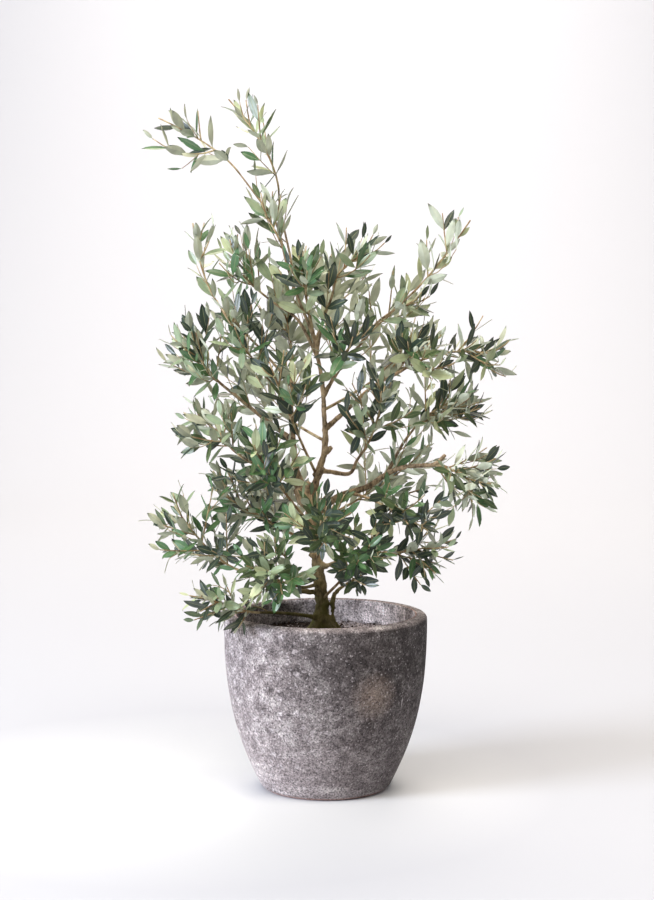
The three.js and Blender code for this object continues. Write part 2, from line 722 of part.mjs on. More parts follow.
const stems = Object.fromEntries(Object.entries(MASSES).map(([name, mass]) => [name, stemOf(mass, limbs)]));
const limbBeads = Object.values(limbs).flatMap((limb) => beadsOf(limb.curve, limb.radiusAt));
for (const [name, mass] of Object.entries(MASSES)) {
  const others = Object.keys(stems).filter((other) => other !== name);
  const stemBeads = others.flatMap((other) => beadsOf(stems[other].path, stems[other].radiusAt));
  const reach = Math.max(...mass.reach) + 2 * LIMB_CLEARANCE + TRUNK.taper;
  const isNear = (bead) => bead.point.distanceTo(vec(mass.centre)) < reach;
  const beads = [...limbBeads, ...stemBeads].filter(isNear);
  const isClear = (point, radius) =>
    beads.every((bead) => bead.point.distanceTo(point) > bead.radius + radius + LIMB_CLEARANCE);
  const isInside = makeSpace(mass);
  const shoots = shootsOf(mass, stems[name], isInside, isClear);
  let solid = foliageSolid(mass, stems[name], shoots, isInside, isClear);
  for (const limb of keptClear) solid = solid.subtract(limb);
  addMesh(name, tidied(solid), COLOUR.leaf, 0.6);
}

export default tree;
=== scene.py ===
"""A potted olive tree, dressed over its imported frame.

The pot, the soil, the limbs and the foliage each replace the plain solids of the frame. Lengths in the
tables are millimetres; Blender's own are metres. +Z is up, and the broad side of the crown faces -Y.
"""

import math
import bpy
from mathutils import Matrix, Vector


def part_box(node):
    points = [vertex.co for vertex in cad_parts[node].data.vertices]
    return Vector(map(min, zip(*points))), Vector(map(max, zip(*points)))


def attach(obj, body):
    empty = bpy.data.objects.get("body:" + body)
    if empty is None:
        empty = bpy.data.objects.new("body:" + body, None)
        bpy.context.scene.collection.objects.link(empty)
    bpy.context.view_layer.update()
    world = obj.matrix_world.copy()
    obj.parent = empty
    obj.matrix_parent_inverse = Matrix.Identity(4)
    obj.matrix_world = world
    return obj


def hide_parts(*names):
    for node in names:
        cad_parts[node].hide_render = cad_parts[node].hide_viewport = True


bl_info = {
    "name": "Potted Olive Tree",
    "version": (1, 0, 0),
    "blender": (4, 5, 0),
    "location": "3D View > Sidebar > Olive Tree",
    "description": "Makes the pot, soil, limbs and foliage of a young olive tree, and a studio for it",
    "category": "Object",
}

from collections import namedtuple
from functools import partial

import bpy
import numpy as np
from bpy.props import FloatProperty, FloatVectorProperty, IntProperty, PointerProperty
from mathutils import Matrix, Vector

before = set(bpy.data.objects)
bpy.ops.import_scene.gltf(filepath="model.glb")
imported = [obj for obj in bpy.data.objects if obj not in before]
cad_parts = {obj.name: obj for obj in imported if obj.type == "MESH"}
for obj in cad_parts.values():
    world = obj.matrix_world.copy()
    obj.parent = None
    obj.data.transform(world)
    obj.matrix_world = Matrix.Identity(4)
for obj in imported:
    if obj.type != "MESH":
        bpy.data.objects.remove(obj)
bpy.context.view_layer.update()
POT_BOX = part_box("pot")
SOIL_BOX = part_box("soil")

MM = 0.001
UP = np.array([0.0, 0.0, 1.0])
GOLDEN_ANGLE = 137.5
BODY = "root"

# The trunk's line, from below the soil up through its fork and along the leader
TRUNK_LINE = [
    [-4, 0, 218], [-5, 0, 270], [-10, -2, 320], [-16, 0, 372], [-21, 2, 422], [-12, 4, 462],
    [-1, 4, 505], [-2, 2, 550], [-5, 8, 600], [-13, 10, 645], [-20, 8, 680],
]

# Boughs: the limb each leaves, how far along that limb, its radii at foot and tip, and the bends it passes
BOUGHS = {
    "left_limb": ("trunk", 0.4, 6.4, 2.4, [[-41, 2, 462], [-48, 18, 514], [-51, 30, 570], [-49, 38, 616]]),
    "top_left": (
        "trunk", 0.96, 2.6, 1.4,
        [[-42, 0, 728], [-57, 0, 775], [-72, -2, 832], [-98, -4, 868], [-126, -4, 905]],
    ),
    "top_middle": ("top_left", 0.36, 2.1, 1.5, [[-50, 14, 775], [-66, 12, 850], [-68, 8, 880]]),
    "top_neck": ("top_left", 0.3, 1.9, 1.5, [[-58, -16, 786], [-66, -24, 806]]),
    "upper_left": ("trunk", 0.88, 2.8, 1.7, [[-40, 20, 690], [-70, 14, 712], [-88, 6, 726]]),
    "centre_top": ("trunk", 0.9, 2.8, 1.7, [[-4, 4, 690], [8, 0, 722], [14, -2, 748]]),
    "right_upper": ("trunk", 0.76, 3.4, 1.8, [[20, 20, 618], [46, 30, 648], [66, 32, 672]]),
    "right_top": ("right_upper", 0.62, 2.3, 1.6, [[72, 12, 684], [100, 4, 706], [124, 0, 728]]),
    "right_arch": (
        "trunk", 0.66, 3.6, 1.7,
        [[28, 12, 556], [68, 18, 592], [104, 14, 612], [134, 8, 630], [166, 2, 641]],
    ),
    "right_inner": ("right_arch", 0.5, 2.2, 1.6, [[84, -12, 618], [104, -24, 636]]),
    "right_level": ("trunk", 0.52, 3.9, 2.0, [[14, 6, 467], [36, 6, 466], [46, -4, 486], [56, -18, 502]]),
    "right_main": (
        "trunk", 0.36, 6.0, 2.9,
        [[18, -14, 433], [60, -26, 449], [86, -33, 467], [112, -40, 479], [156, -50, 484]],
    ),
    "right_rise": ("right_main", 0.62, 3.0, 1.8, [[112, -14, 510], [132, -2, 536]]),
    "right_under": ("right_main", 0.28, 2.8, 1.8, [[60, -50, 436], [76, -62, 430]]),
    "right_low": ("trunk", 0.22, 3.6, 1.8, [[6, -18, 334], [30, -38, 346], [60, -58, 354], [92, -72, 358]]),
    "left_high": ("left_limb", 0.88, 2.4, 1.6, [[-88, 22, 640], [-122, 12, 676], [-150, 8, 706]]),
    "left_inner": ("left_limb", 0.66, 2.5, 1.7, [[-70, 4, 588], [-86, -12, 608]]),
    "left_mid": ("left_limb", 0.5, 3.8, 2.2, [[-84, 22, 540], [-118, 18, 568], [-152, 12, 596]]),
    "left_level": ("left_limb", 0.22, 3.4, 1.9, [[-80, -18, 473], [-112, -36, 488], [-128, -44, 500]]),
    "left_low": ("trunk", 0.14, 4.0, 1.9, [[-52, -34, 300], [-98, -56, 322], [-124, -64, 332]]),
    "left_low_front": ("trunk", 0.17, 3.0, 1.9, [[-30, -42, 304], [-52, -76, 314]]),
    "left_rim": ("trunk", 0.065, 3.4, 1.9, [[-46, -38, 264], [-76, -66, 271], [-96, -84, 274]]),
}

# Masses of foliage: the bough whose tip each grows from, or how far up the trunk, the centre of its space,
# how far that space reaches, its number of shoots, its seed, its mix of leaves (deep, olive, grey, fresh
# and young), and how full of side twigs it is, as in the photograph
Mass = namedtuple("Mass", "foot centre reach shoots seed mix fullness")
# The darker mix, for masses low in the crown, is painted shade: more deep green leaves where the crown
# shades itself
DARK_MIX = (0.54, 0.2, 0.07, 0.15, 0.04)
EVEN_MIX = (0.4, 0.2, 0.17, 0.13, 0.1)
PALE_MIX = (0.22, 0.12, 0.34, 0.16, 0.16)
GREEN_MIX = (0.38, 0.2, 0.08, 0.27, 0.07)
MASSES = {
    "top_spray": Mass("top_middle", [-108, 0, 952], [60, 56, 80], 4, 11, PALE_MIX, 1.0),
    "top_left_spray": Mass("top_left", [-190, -6, 948], [80, 56, 60], 4, 12, PALE_MIX, 1.15),
    "top_neck_foliage": Mass("top_neck", [-84, -16, 836], [62, 62, 60], 5, 13, PALE_MIX, 0.85),
    "left_spire": Mass("left_high", [-174, 5, 776], [40, 46, 72], 4, 14, PALE_MIX, 0.9),
    "upper_left_foliage": Mass("upper_left", [-116, -5, 754], [76, 82, 84], 6, 15, PALE_MIX, 1.0),
    "centre_upper_foliage": Mass(1, [-30, -24, 738], [76, 82, 80], 7, 16, PALE_MIX, 0.9),
    "centre_top_spray": Mass("centre_top", [38, -2, 770], [78, 78, 74], 4, 17, PALE_MIX, 0.8),
    "right_top_spray": Mass("right_top", [172, 0, 788], [48, 54, 86], 3, 18, PALE_MIX, 1.0),
    "right_upper_foliage": Mass("right_upper", [104, 16, 700], [82, 85, 80], 6, 19, PALE_MIX, 0.8),
    "centre_right_foliage": Mass(0.8, [34, -56, 656], [82, 82, 78], 6, 20, EVEN_MIX, 1.0),
    "right_arch_foliage": Mass("right_arch", [212, 0, 641], [82, 76, 76], 7, 21, PALE_MIX, 1.0),
    "right_inner_foliage": Mass("right_inner", [130, -48, 621], [82, 80, 80], 7, 22, EVEN_MIX, 1.25),
    "left_upper_foliage": Mass("left_mid", [-174, 2, 628], [84, 84, 92], 8, 23, EVEN_MIX, 1.4),
    "left_inner_foliage": Mass("left_inner", [-120, -42, 664], [82, 82, 84], 7, 24, EVEN_MIX, 1.0),
    "left_crown": Mass("left_limb", [-60, 50, 680], [80, 88, 82], 5, 25, EVEN_MIX, 1.0),
    "centre_left_foliage": Mass(0.5, [-62, -74, 590], [80, 82, 78], 5, 26, EVEN_MIX, 1.0),
    "left_mid_foliage": Mass("left_level", [-150, -30, 530], [80, 86, 80], 7, 27, EVEN_MIX, 1.3),
    "left_front_foliage": Mass(0.33, [-84, -88, 488], [72, 80, 76], 5, 28, DARK_MIX, 1.5),
    "left_low_foliage": Mass("left_low", [-176, -62, 384], [98, 86, 86], 8, 29, GREEN_MIX, 1.0),
    "left_low_inner_foliage": Mass(0.28, [-122, -24, 424], [84, 82, 80], 7, 30, GREEN_MIX, 1.3),
    "left_low_front_foliage": Mass("left_low_front", [-78, -104, 333], [88, 82, 76], 9, 31, GREEN_MIX, 1.6),
    "left_rim_foliage": Mass("left_rim", [-140, -112, 292], [74, 68, 52], 8, 32, GREEN_MIX, 1.4),
    "centre_low_foliage": Mass(0.24, [-8, -114, 396], [84, 82, 76], 8, 33, DARK_MIX, 1.5),
    "right_mid_foliage": Mass("right_level", [72, -48, 556], [82, 85, 84], 7, 34, EVEN_MIX, 1.2),
    "right_rise_foliage": Mass("right_rise", [160, -4, 556], [88, 86, 84], 10, 35, EVEN_MIX, 1.6),
    "right_outer_foliage": Mass("right_main", [190, -52, 466], [84, 80, 80], 8, 36, EVEN_MIX, 1.3),
    "right_under_foliage": Mass("right_under", [114, -96, 412], [86, 82, 78], 6, 37, DARK_MIX, 1.4),
    "right_low_foliage": Mass("right_low", [128, -84, 366], [76, 80, 66], 7, 38, DARK_MIX, 1.1),
    "centre_right_low_foliage": Mass(0.12, [54, -98, 366], [80, 78, 76], 8, 39, DARK_MIX, 1.3),
    "back_top_foliage": Mass(0.94, [8, 92, 724], [88, 88, 82], 5, 40, EVEN_MIX, 1.2),
    "back_right_foliage": Mass(0.72, [112, 106, 632], [90, 90, 84], 5, 41, EVEN_MIX, 1.2),
    "back_left_foliage": Mass(0.62, [-96, 122, 572], [90, 90, 84], 5, 42, EVEN_MIX, 1.2),
    "back_low_right_foliage": Mass(0.34, [100, 92, 456], [92, 92, 84], 5, 43, DARK_MIX, 1.3),
    "back_low_left_foliage": Mass(0.3, [-84, 104, 426], [92, 92, 84], 5, 44, DARK_MIX, 1.3),
}

# Sprays that arch, so that their twigs and leaves hang out level
ARCHING = ("top_spray", "top_left_spray")

# The rule of the solids, in millimetres, degrees and shares
RISING = (300, 900)  # heights between which growth turns from spreading to upright
BORDER_RISE = 34  # how the border between two masses is raised towards the lower one
PAST_CENTRE = {"bough": 0.8, "trunk": 0.35}  # how far a stem goes on past the middle of its mass
SHOOT_LENGTH = 124
SHOOT_LIFT = (0.02, 0.52)  # how far a shoot turns up, low and high on the tree
SHOOT_LEAN = (62, 34)  # its angle off the stem, at the stem's foot and tip
SHOOT_SIDES = 5  # ways in which it is tried
SHOOT_ROOM = 70  # distance to other tips past which more is no better
LEAF_ROOM = 14  # kept free for a leaf past a shoot's tip
SHOOT_SHORTEST = 24
SHOOT_SPAN = (0.06, 0.92)  # the part of its stem that bears shoots
STEM_SAG = 0.06  # how far a stem on the trunk hangs through, as a share of its length
STEM_LEAVING = 0.35  # how far a stem on a bough goes on in the bough's own line
STEM_SUNK = 1.5  # how far it starts within the bough
LIMB_NEAR = 20  # how far past a mass's reach limbs are kept clear of
LIMB_BEARING = 40  # how far past it a limb may pass and still bear its twigs

# What the photograph adds to the rule: side twigs, by the gap between them, their shortest and longest, the
# share of the bearer's length below the first, and how far past a border they may grow
TWIGS = {
    "shoot": (54, (50, 96), 0.12, 20),
    "stem": (38, (56, 108), 0.12, 20),
    "limb": (34, (40, 84), 0.34, -6),
}
TIP_ROOM = 20  # kept free for a leaf past a twig's tip
TWIG_SHORTEST = 18
TWIG_LEAN = (50, 30)  # a side twig's angle off its bearer, at the bearer's foot and tip
LEAF_LEAN = (52, 28)  # the same for leaves
LEAF_SIZES = (0.74, 1.26)
LEAF_ROLL = 76  # how far leaves turn about their own length
FIRST_LEAF = {"stem": 0.16, "shoot": 0.14, "twig": 0.1}  # the share of the length below the first leaves
LEAF_PLAY = 28  # how far a leaf may cross the border between two masses

# Leaves low on the tree and high up: the heights, and their scale, their breadth and the gap between pairs
# against the middling leaf's, and how strongly they face the light
LEAF_HEIGHTS = (320, 720)
LEAF_SCALES = (0.82, 1.1)
LEAF_BREADTHS = (1.4, 1.25)
LEAF_GAPS = (1.0, 1.5)
LEAF_FACING = (1.5, 0.3)

# Radii of stems at their foot on the trunk and at the tip, and of shoots and side twigs at foot and tip
STEM_FOOT = 2.4
STEM_TIP = 1.1
SHOOT_RADII = (1.25, 0.8)
TWIG_RADII = (0.85, 0.55)

# Where foliage may be: this far outside the pot and off the ground, this far inside it and above the soil,
# or above its rim
OUTSIDE_POT = (153, 3)
INSIDE_POT = (129, 231)
ABOVE_POT = 263

# The camera, a little above and looking slightly down, in millimetres and degrees
CAMERA_DISTANCE = 3000
CAMERA_TILT = 5.0
CAMERA_LENS = 81.8
CAMERA_TARGET = (2.1, 0, 501)


def linear(code):
    """An sRGB hex colour as linear red, green, blue and alpha."""
    shares = [int(code[i:i + 2], 16) / 255 for i in (1, 3, 5)]
    return [s / 12.92 if s <= 0.04045 else ((s + 0.055) / 1.055) ** 2.4 for s in shares] + [1.0]


def between(low, high, share):
    return low + (high - low) * share


def unit(vector):
    return vector / max(np.linalg.norm(vector), 1e-12)


def uprightness(mass):
    """How upright a mass grows: 0 for the lowest masses, 1 at the top of the tree."""
    low, high = RISING
    return min(max((mass.centre[2] - low) / (high - low), 0.0), 1.0)


# Settings
def size_setting(name, description, default):
    """A setting for a length, in metres."""
    return FloatProperty(name=name, description=description, default=default, unit="LENGTH")


def colour_setting(name, description, code):
    """A setting for a colour, whose default is given as sRGB hex."""
    return FloatVectorProperty(
        name=name, description=description, subtype="COLOR", size=4, default=linear(code)
    )


class PotSettings(bpy.types.PropertyGroup):
    """Sizes and colours of the earthenware pot."""

    rim_radius: size_setting("Rim radius", "Half the width over the rim", POT_BOX[1][0])
    height: size_setting("Height", "From the ground to the top of the rim", POT_BOX[1][2])
    foot_radius: size_setting("Foot radius", "Where the wall's curve would meet the ground", 93 * MM)
    wall: size_setting("Wall", "Thickness of the wall", 18 * MM)
    clay: colour_setting("Clay", "The pot's middle grey", "#7a7272")
    dark: colour_setting("Damp", "Where it stays damp", "#453f3f")
    wash: colour_setting("Wash", "Thin lime wash", "#b0aaa8")
    lime: colour_setting("Lime", "Crusts and specks", "#d6cdcf")
    pit: colour_setting("Pit", "Pits in the wall", "#221e20")
    tan: colour_setting("Tan", "Where the clay shows through", "#96857a")
    terracotta: colour_setting("Bare clay", "Worn edges", "#c9a093")


class SoilSettings(bpy.types.PropertyGroup):
    """Sizes and colours of the soil in the pot."""

    level: size_setting("Level", "Height of the soil", SOIL_BOX[1][2])
    crumbs: IntProperty(name="Crumbs", description="Number of loose crumbs on the soil", default=900, min=0)
    crumb_size: size_setting("Crumb size", "Widest crumb", 7 * MM)
    humus: colour_setting("Humus", "Damp dark soil", "#17110e")
    crumb: colour_setting("Crumb", "Drier crumbs", "#43352b")
    grit: colour_setting("Grit", "Pale grit", "#a09799")


class LimbSettings(bpy.types.PropertyGroup):
    """Sizes and colours of the trunk and boughs."""

    trunk_foot: size_setting("Trunk foot", "Radius at the soil, before its flare", 11 * MM)
    trunk_tip: size_setting("Leader", "Radius at its tip", 2.7 * MM)
    flare: size_setting("Flare", "Extra radius at the soil", 13 * MM)
    grain: size_setting("Grain", "Size of the remeshed bark's faces", 1.1 * MM)
    bark: colour_setting("Bark", "Weathered bark", "#b69e7e")
    crack: colour_setting("Cracks", "The bark's furrows", "#4d3f30")
    moss: colour_setting("Moss", "Algae at the foot", "#5b5729")


class LeafSettings(bpy.types.PropertyGroup):
    """Sizes and colours of the leaves and twigs."""

    length: size_setting("Length", "Of a middling leaf", 37 * MM)
    width: size_setting("Width", "Of a middling leaf", 8.8 * MM)
    thickness: size_setting("Thickness", "Of the blade", 0.5 * MM)
    spacing: size_setting("Spacing", "Between pairs on a twig", 18 * MM)
    apart: size_setting("Apart", "How near the middles of two leaves come", 9 * MM)
    deep: colour_setting("Deep green", "Old leaves, upper side", "#28392c")
    olive: colour_setting("Olive green", "Middling leaves, upper side", "#465a33")
    grey: colour_setting("Grey green", "Dusty leaves, upper side", "#899a78")
    fresh: colour_setting("Fresh green", "This year's leaves, upper side", "#4a7044")
    young: colour_setting("Young green", "The newest leaves, upper side", "#b3bd93")
    silver: colour_setting("Silver", "Scaly underside", "#c8cdb6")
    rib: colour_setting("Rib", "Stalk and midrib", "#a3a87c")
    twig: colour_setting("Twig", "Green twigs", "#bba982")
    old_twig: colour_setting("Older twig", "Twigs that turn to wood", "#8a6f4e")


class StudioSettings(bpy.types.PropertyGroup):
    """Light and floor of the studio."""

    window: FloatProperty(name="Window", description="Power of the light at the left", default=292.0)
    ceiling: FloatProperty(name="Ceiling", description="Power of the row of lights overhead", default=330.0)
    fill: FloatProperty(name="Fill", description="Strength of the light from all round", default=0.246)
    floor: colour_setting("Floor", "Paper sweep", "#c4c7ce")
    # Painted light on the paper round the pot
    bright: colour_setting("Bright floor", "Paper round the pot", "#dde0e3")


# Nodes and meshes
def add_node(tree, kind, inputs=None, stops=None, **settings):
    """Adds a shader node, sets it, fills its inputs with values or links, and gives its outputs."""
    node = tree.nodes.new("ShaderNode" + kind)
    for name, value in settings.items():
        setattr(node, name, value)
    for socket, value in (inputs or {}).items():
        if isinstance(value, bpy.types.NodeSocket):
            tree.links.new(value, node.inputs[socket])
        else:
            node.inputs[socket].default_value = value
    for i, (place, colour) in enumerate(stops or []):
        elements = node.color_ramp.elements
        element = elements[i] if i < len(elements) else elements.new(1.0)
        element.position = place
        element.color = colour
    return node.outputs


def new_material(name):
    """A material with a Principled surface, the function that adds its nodes, and Object coordinates."""
    material = bpy.data.materials.new(name)
    material.use_nodes = True
    add = partial(add_node, material.node_tree)
    return material, add, add("TexCoord")["Object"]


def set_surface(material, colour, roughness, shine=0.5, relief=None):
    """Gives a material's shader its colour, its roughness, how much it shines, and its relief."""
    tree = material.node_tree
    shader = tree.nodes["Principled BSDF"]
    tree.links.new(colour, shader.inputs["Base Color"])
    shader.inputs["Roughness"].default_value = roughness
    shader.inputs["Specular IOR Level"].default_value = shine
    if relief:
        tree.links.new(relief, shader.inputs["Normal"])


def grain(size):
    """The scale of a pattern whose grain is so many millimetres wide."""
    return 1 / (size * MM)


# Where the pot's looks change: the axis, two places along it in millimetres, and a value at each
POT_FADES = {
    "smeared": ("Z", 20, 100, 0.75, 0.0),
    # Painted light on the left of the wall and painted shade on its right
    "painted_side_light": ("X", -130, 90, 1.85, 0.52),
    # These two mark out painted shade on the right of the wall, below the rim
    "upper": ("Z", 110, 190, 0.0, 0.44),
    "right": ("X", -90, -20, 0.0, 1.0),
    "lower": ("Z", 20, 110, 1.5, 1.0),
    # Inside the wall: painted shade on the left and painted light on the right
    "within": ("X", -70, 90, 0.4, 1.45),
    "lip": ("Z", 253.5, 257.5, 0.0, 1.0),
    "crusted": ("X", -90, 30, 0.8, 0.14),
    "specked": ("X", -100, 100, 0.85, 0.4),
    "behind": ("Y", -80, 20, 0.1, 1.0),
    "foot": ("Z", 1.2, 5, 0.8, 0.0),
}
# The middles of the tan patch and of the run of lime beside it
TAN_PATCH = (67 * MM, -122 * MM, 161 * MM)
LIME_RUN = (110 * MM, -92 * MM, 144 * MM)


def earthenware(pot):
    """Hand-thrown earthenware under a lime wash: dry, matte and mauve grey, with pale crusts and pits."""
    material, add, place = new_material("lime-washed earthenware")
    axes = add("SeparateXYZ", {0: place})
    fade = {
        name: add("MapRange", {0: axes[axis], 1: start * MM, 2: end * MM, 3: low, 4: high})[0]
        for name, (axis, start, end, low, high) in POT_FADES.items()
    }
    # Clouds in the wash, 5 to 20 mm wide, and lower down level smears from the wheel
    cloud = add("TexNoise", {"Vector": place, "Scale": grain(21.74), "Detail": 8.0, "Roughness": 0.72})[0]
    flat = add("Mapping", {"Vector": place, "Scale": (1.0, 1.0, 5.0)})[0]
    smear = add("TexNoise", {"Vector": flat, "Scale": grain(62.5), "Detail": 5.0, "Roughness": 0.65})[0]
    wash = add("Mix", {0: fade["smeared"], 2: cloud, 3: smear})[0]
    colour = add("ValToRGB", {0: wash}, stops=[(0.3, pot.dark), (0.5, pot.clay), (0.72, pot.wash)])[0]
    # The pale bare inside of the wall
    inner = pot.rim_radius - pot.wall
    level = add("VectorMath", {0: place, 1: (1, 1, 0)}, operation="MULTIPLY")[0]
    radius = add("VectorMath", {0: level}, operation="LENGTH")["Value"]
    inside = add("MapRange", {0: radius, 1: inner, 2: inner + 0.8 * MM, 3: 1.0, 4: 0.0})[0]
    high = add("Math", {0: axes["Z"], 1: pot.height - 60 * MM}, operation="GREATER_THAN")[0]
    inside = add("Math", {0: inside, 1: high}, operation="MULTIPLY")[0]
    chalky = add("ValToRGB", {0: cloud}, stops=[(0.38, pot.clay), (0.6, pot.lime)])[0]
    colour = add("Mix", {0: inside, 6: colour, 7: chalky}, data_type="RGBA")[2]
    # Painted light and shade: the wall is darker on the right, most of all below the rim, and lighter at the
    # left; the wash is thick at the foot
    # Painted shade on the right of the wall below the rim
    damp = add("Math", {0: fade["upper"], 1: fade["right"]}, operation="MULTIPLY")[0]
    tone = add("Math", {0: 1.0, 1: damp}, operation="SUBTRACT")[0]
    for share in (fade["painted_side_light"], fade["lower"]):
        tone = add("Math", {0: tone, 1: share}, operation="MULTIPLY")[0]
    # Inside, painted light on the right and painted shade on the left, and the lip keeps one paler tone all
    # round
    for where, value in ((inside, fade["within"]), (fade["lip"], 1.35)):
        tone = add("Mix", {0: where, 2: tone, 3: value})[0]
    colour = add("VectorMath", {0: colour, 1: tone}, operation="MULTIPLY")[0]
    # A tan patch, 60 mm across, and a thin upright run of lime
    for middle, squeeze, near, far, most, tint in (
        (TAN_PATCH, 1.0, 4, 40, 0.66, pot.tan),
        (LIME_RUN, 0.13, 0.4, 1.6, 0.6, pot.lime),
    ):
        off = add("VectorMath", {0: place, 1: middle}, operation="SUBTRACT")[0]
        off = add("VectorMath", {0: off, 1: (1, 1, squeeze)}, operation="MULTIPLY")[0]
        off = add("VectorMath", {0: off}, operation="LENGTH")["Value"]
        patch = add("MapRange", {0: off, 1: near * MM, 2: far * MM, 3: most, 4: 0.0})[0]
        colour = add("Mix", {0: patch, 6: colour, 7: tint}, data_type="RGBA")[2]
    # Crusts and specks of lime, and pits: the cells' size, their soft edge, the chance of each, and where
    warp = add("TexNoise", {"Vector": place, "Scale": grain(6.667), "Detail": 2.0})["Color"]
    bent = add("Mix", {0: 0.01, 4: place, 5: warp}, data_type="VECTOR")[1]
    pitted = add("MapRange", {0: smear, 1: 0.45, 2: 0.6, 3: 0.15, 4: 0.85})[0]
    pitted = add("Mix", {0: inside, 2: pitted, 3: 0.8})[0]
    relief = 0.0
    for size, near, far, least, most, where, tint, rise in (
        (11.36, 0.12, 0.42, 0.3, 0.75, fade["crusted"], pot.lime, 0.5),
        (4.255, 0.1, 0.4, 0.45, 0.8, fade["specked"], pot.lime, 0.5),
        (3.448, 0.1, 0.42, 0.5, 0.75, pitted, pot.pit, -1.0),
    ):
        cells = add("TexVoronoi", {"Vector": bent, "Scale": grain(size)})
        chance = add("SeparateXYZ", {0: cells["Color"]})[0]
        chance = add("MapRange", {0: chance, 1: least, 2: most})[0]
        disc = add("MapRange", {0: cells["Distance"], 1: near, 2: far, 3: 1.0, 4: 0.0})[0]
        for share in (chance, where):
            disc = add("Math", {0: disc, 1: share}, operation="MULTIPLY")[0]
        colour = add("Mix", {0: disc, 6: colour, 7: tint}, data_type="RGBA")[2]
        relief = add("Math", {0: disc, 1: rise, 2: relief}, operation="MULTIPLY_ADD")[0]
    # Bare clay on the inner edge of the rim, least in front, and round the foot
    off_edge = add("Math", {0: radius, 1: inner + 1.5 * MM}, operation="SUBTRACT")[0]
    off_edge = add("Math", {0: off_edge}, operation="ABSOLUTE")[0]
    ridge = add("MapRange", {0: off_edge, 1: 0.4 * MM, 2: 1.6 * MM, 3: 0.7, 4: 0.0})[0]
    above = add("Math", {0: axes["Z"], 1: pot.height - 5 * MM}, operation="GREATER_THAN")[0]
    for share in (above, fade["behind"]):
        ridge = add("Math", {0: ridge, 1: share}, operation="MULTIPLY")[0]
    bare = add("Math", {0: ridge, 1: fade["foot"]}, operation="MAXIMUM")[0]
    colour = add("Mix", {0: bare, 6: colour, 7: pot.terracotta}, data_type="RGBA")[2]
    # Sandy grit, under 3 mm
    grit = add("TexNoise", {"Vector": place, "Scale": grain(2.778), "Detail": 3.0, "Roughness": 0.8})[0]
    shade = add("MapRange", {0: grit, 1: 0.34, 2: 0.66, 3: 0.2, 4: 1.72})[0]
    colour = add("VectorMath", {0: colour, 1: shade}, operation="MULTIPLY")[0]
    height = add("Math", {0: grit, 1: relief}, operation="ADD")[0]
    bump = add("Bump", {"Height": height, "Strength": 0.5, "Distance": 1.2 * MM})[0]
    set_surface(material, colour, 0.92, 0.3, bump)
    return material


def potting_soil(soil):
    """Damp potting soil: peat and bark fines, nearly black, and rough enough to have no shine."""
    material, add, place = new_material("damp potting soil")
    crumbs = add("TexNoise", {"Vector": place, "Scale": grain(3.846), "Detail": 4.0, "Roughness": 0.7})[0]
    colour = add("ValToRGB", {0: crumbs}, stops=[(0.38, soil.humus), (0.72, soil.crumb)])[0]
    # Pale grit, thick on the right, and scarce on the left as painted shade
    axes = add("SeparateXYZ", {0: place})
    grit_and_painted_shade = add("MapRange", {0: axes["X"], 1: -10 * MM, 2: 40 * MM, 3: 0.95, 4: 0.22})[0]
    cells = add("TexVoronoi", {"Vector": place, "Scale": grain(3.3333)})["Color"]
    chance = add("SeparateXYZ", {0: cells})[0]
    gritty = add("Math", {0: chance, 1: grit_and_painted_shade}, operation="GREATER_THAN")[0]
    colour = add("Mix", {0: gritty, 6: colour, 7: soil.grit}, data_type="RGBA")[2]
    bump = add("Bump", {"Height": crumbs, "Strength": 0.8, "Distance": 1.5 * MM})[0]
    set_surface(material, colour, 0.95, 0.2, bump)
    return material


def pale_grit(soil):
    """Crumbs of lime and grit: chalky, mauve grey, dusted darker in patches."""
    material, add, place = new_material("pale grit")
    dust = add("TexNoise", {"Vector": place, "Scale": grain(8.333), "Detail": 2.0})[0]
    colour = add("ValToRGB", {0: dust}, stops=[(0.36, soil.crumb), (0.56, soil.grit)])[0]
    set_surface(material, colour, 0.95)
    return material


def olive_bark(limb):
    """Olive bark: tan and finely cracked on the limbs, with green algae low on the trunk."""
    material, add, place = new_material("weathered olive bark")
    upright = add("Mapping", {"Vector": place, "Scale": (1.0, 1.0, 0.35)})[0]
    cracks = add("TexNoise", {"Vector": upright, "Scale": grain(3.846), "Detail": 5.0, "Roughness": 0.7})[0]
    blotch = add("TexNoise", {"Vector": place, "Scale": grain(22.22), "Detail": 3.0, "Roughness": 0.6})[0]
    mixed = add("Mix", {0: 0.5, 2: cracks, 3: blotch})[0]
    colour = add("ValToRGB", {0: mixed}, stops=[(0.4, limb.crack), (0.58, limb.bark)])[0]
    height = add("SeparateXYZ", {0: place})["Z"]
    low = add("MapRange", {0: height, 1: 270 * MM, 2: 380 * MM, 3: 1.0, 4: 0.0})[0]
    patchy = add("MapRange", {0: blotch, 1: 0.3, 2: 0.55, 3: 0.35, 4: 1.0})[0]
    mossy = add("Math", {0: low, 1: patchy}, operation="MULTIPLY")[0]
    colour = add("Mix", {0: mossy, 6: colour, 7: limb.moss}, data_type="RGBA")[2]
    bump = add("Bump", {"Height": cracks, "Strength": 0.7, "Distance": 1.2 * MM})[0]
    set_surface(material, colour, 0.85, 0.3, bump)
    return material


def leaf_skin(name, colour, roughness, shine):
    """Leathery leaf skin with a waxy or a scaly surface, faintly uneven in tone."""
    material, add, place = new_material(name)
    patches = add("TexNoise", {"Vector": place, "Scale": grain(18.18), "Detail": 2.0, "Roughness": 0.5})[0]
    shade = add("MapRange", {0: patches, 1: 0.3, 2: 0.7, 3: 0.8, 4: 1.2})[0]
    toned = add("VectorMath", {0: list(colour)[:3], 1: shade}, operation="MULTIPLY")[0]
    set_surface(material, toned, roughness, shine)
    return material


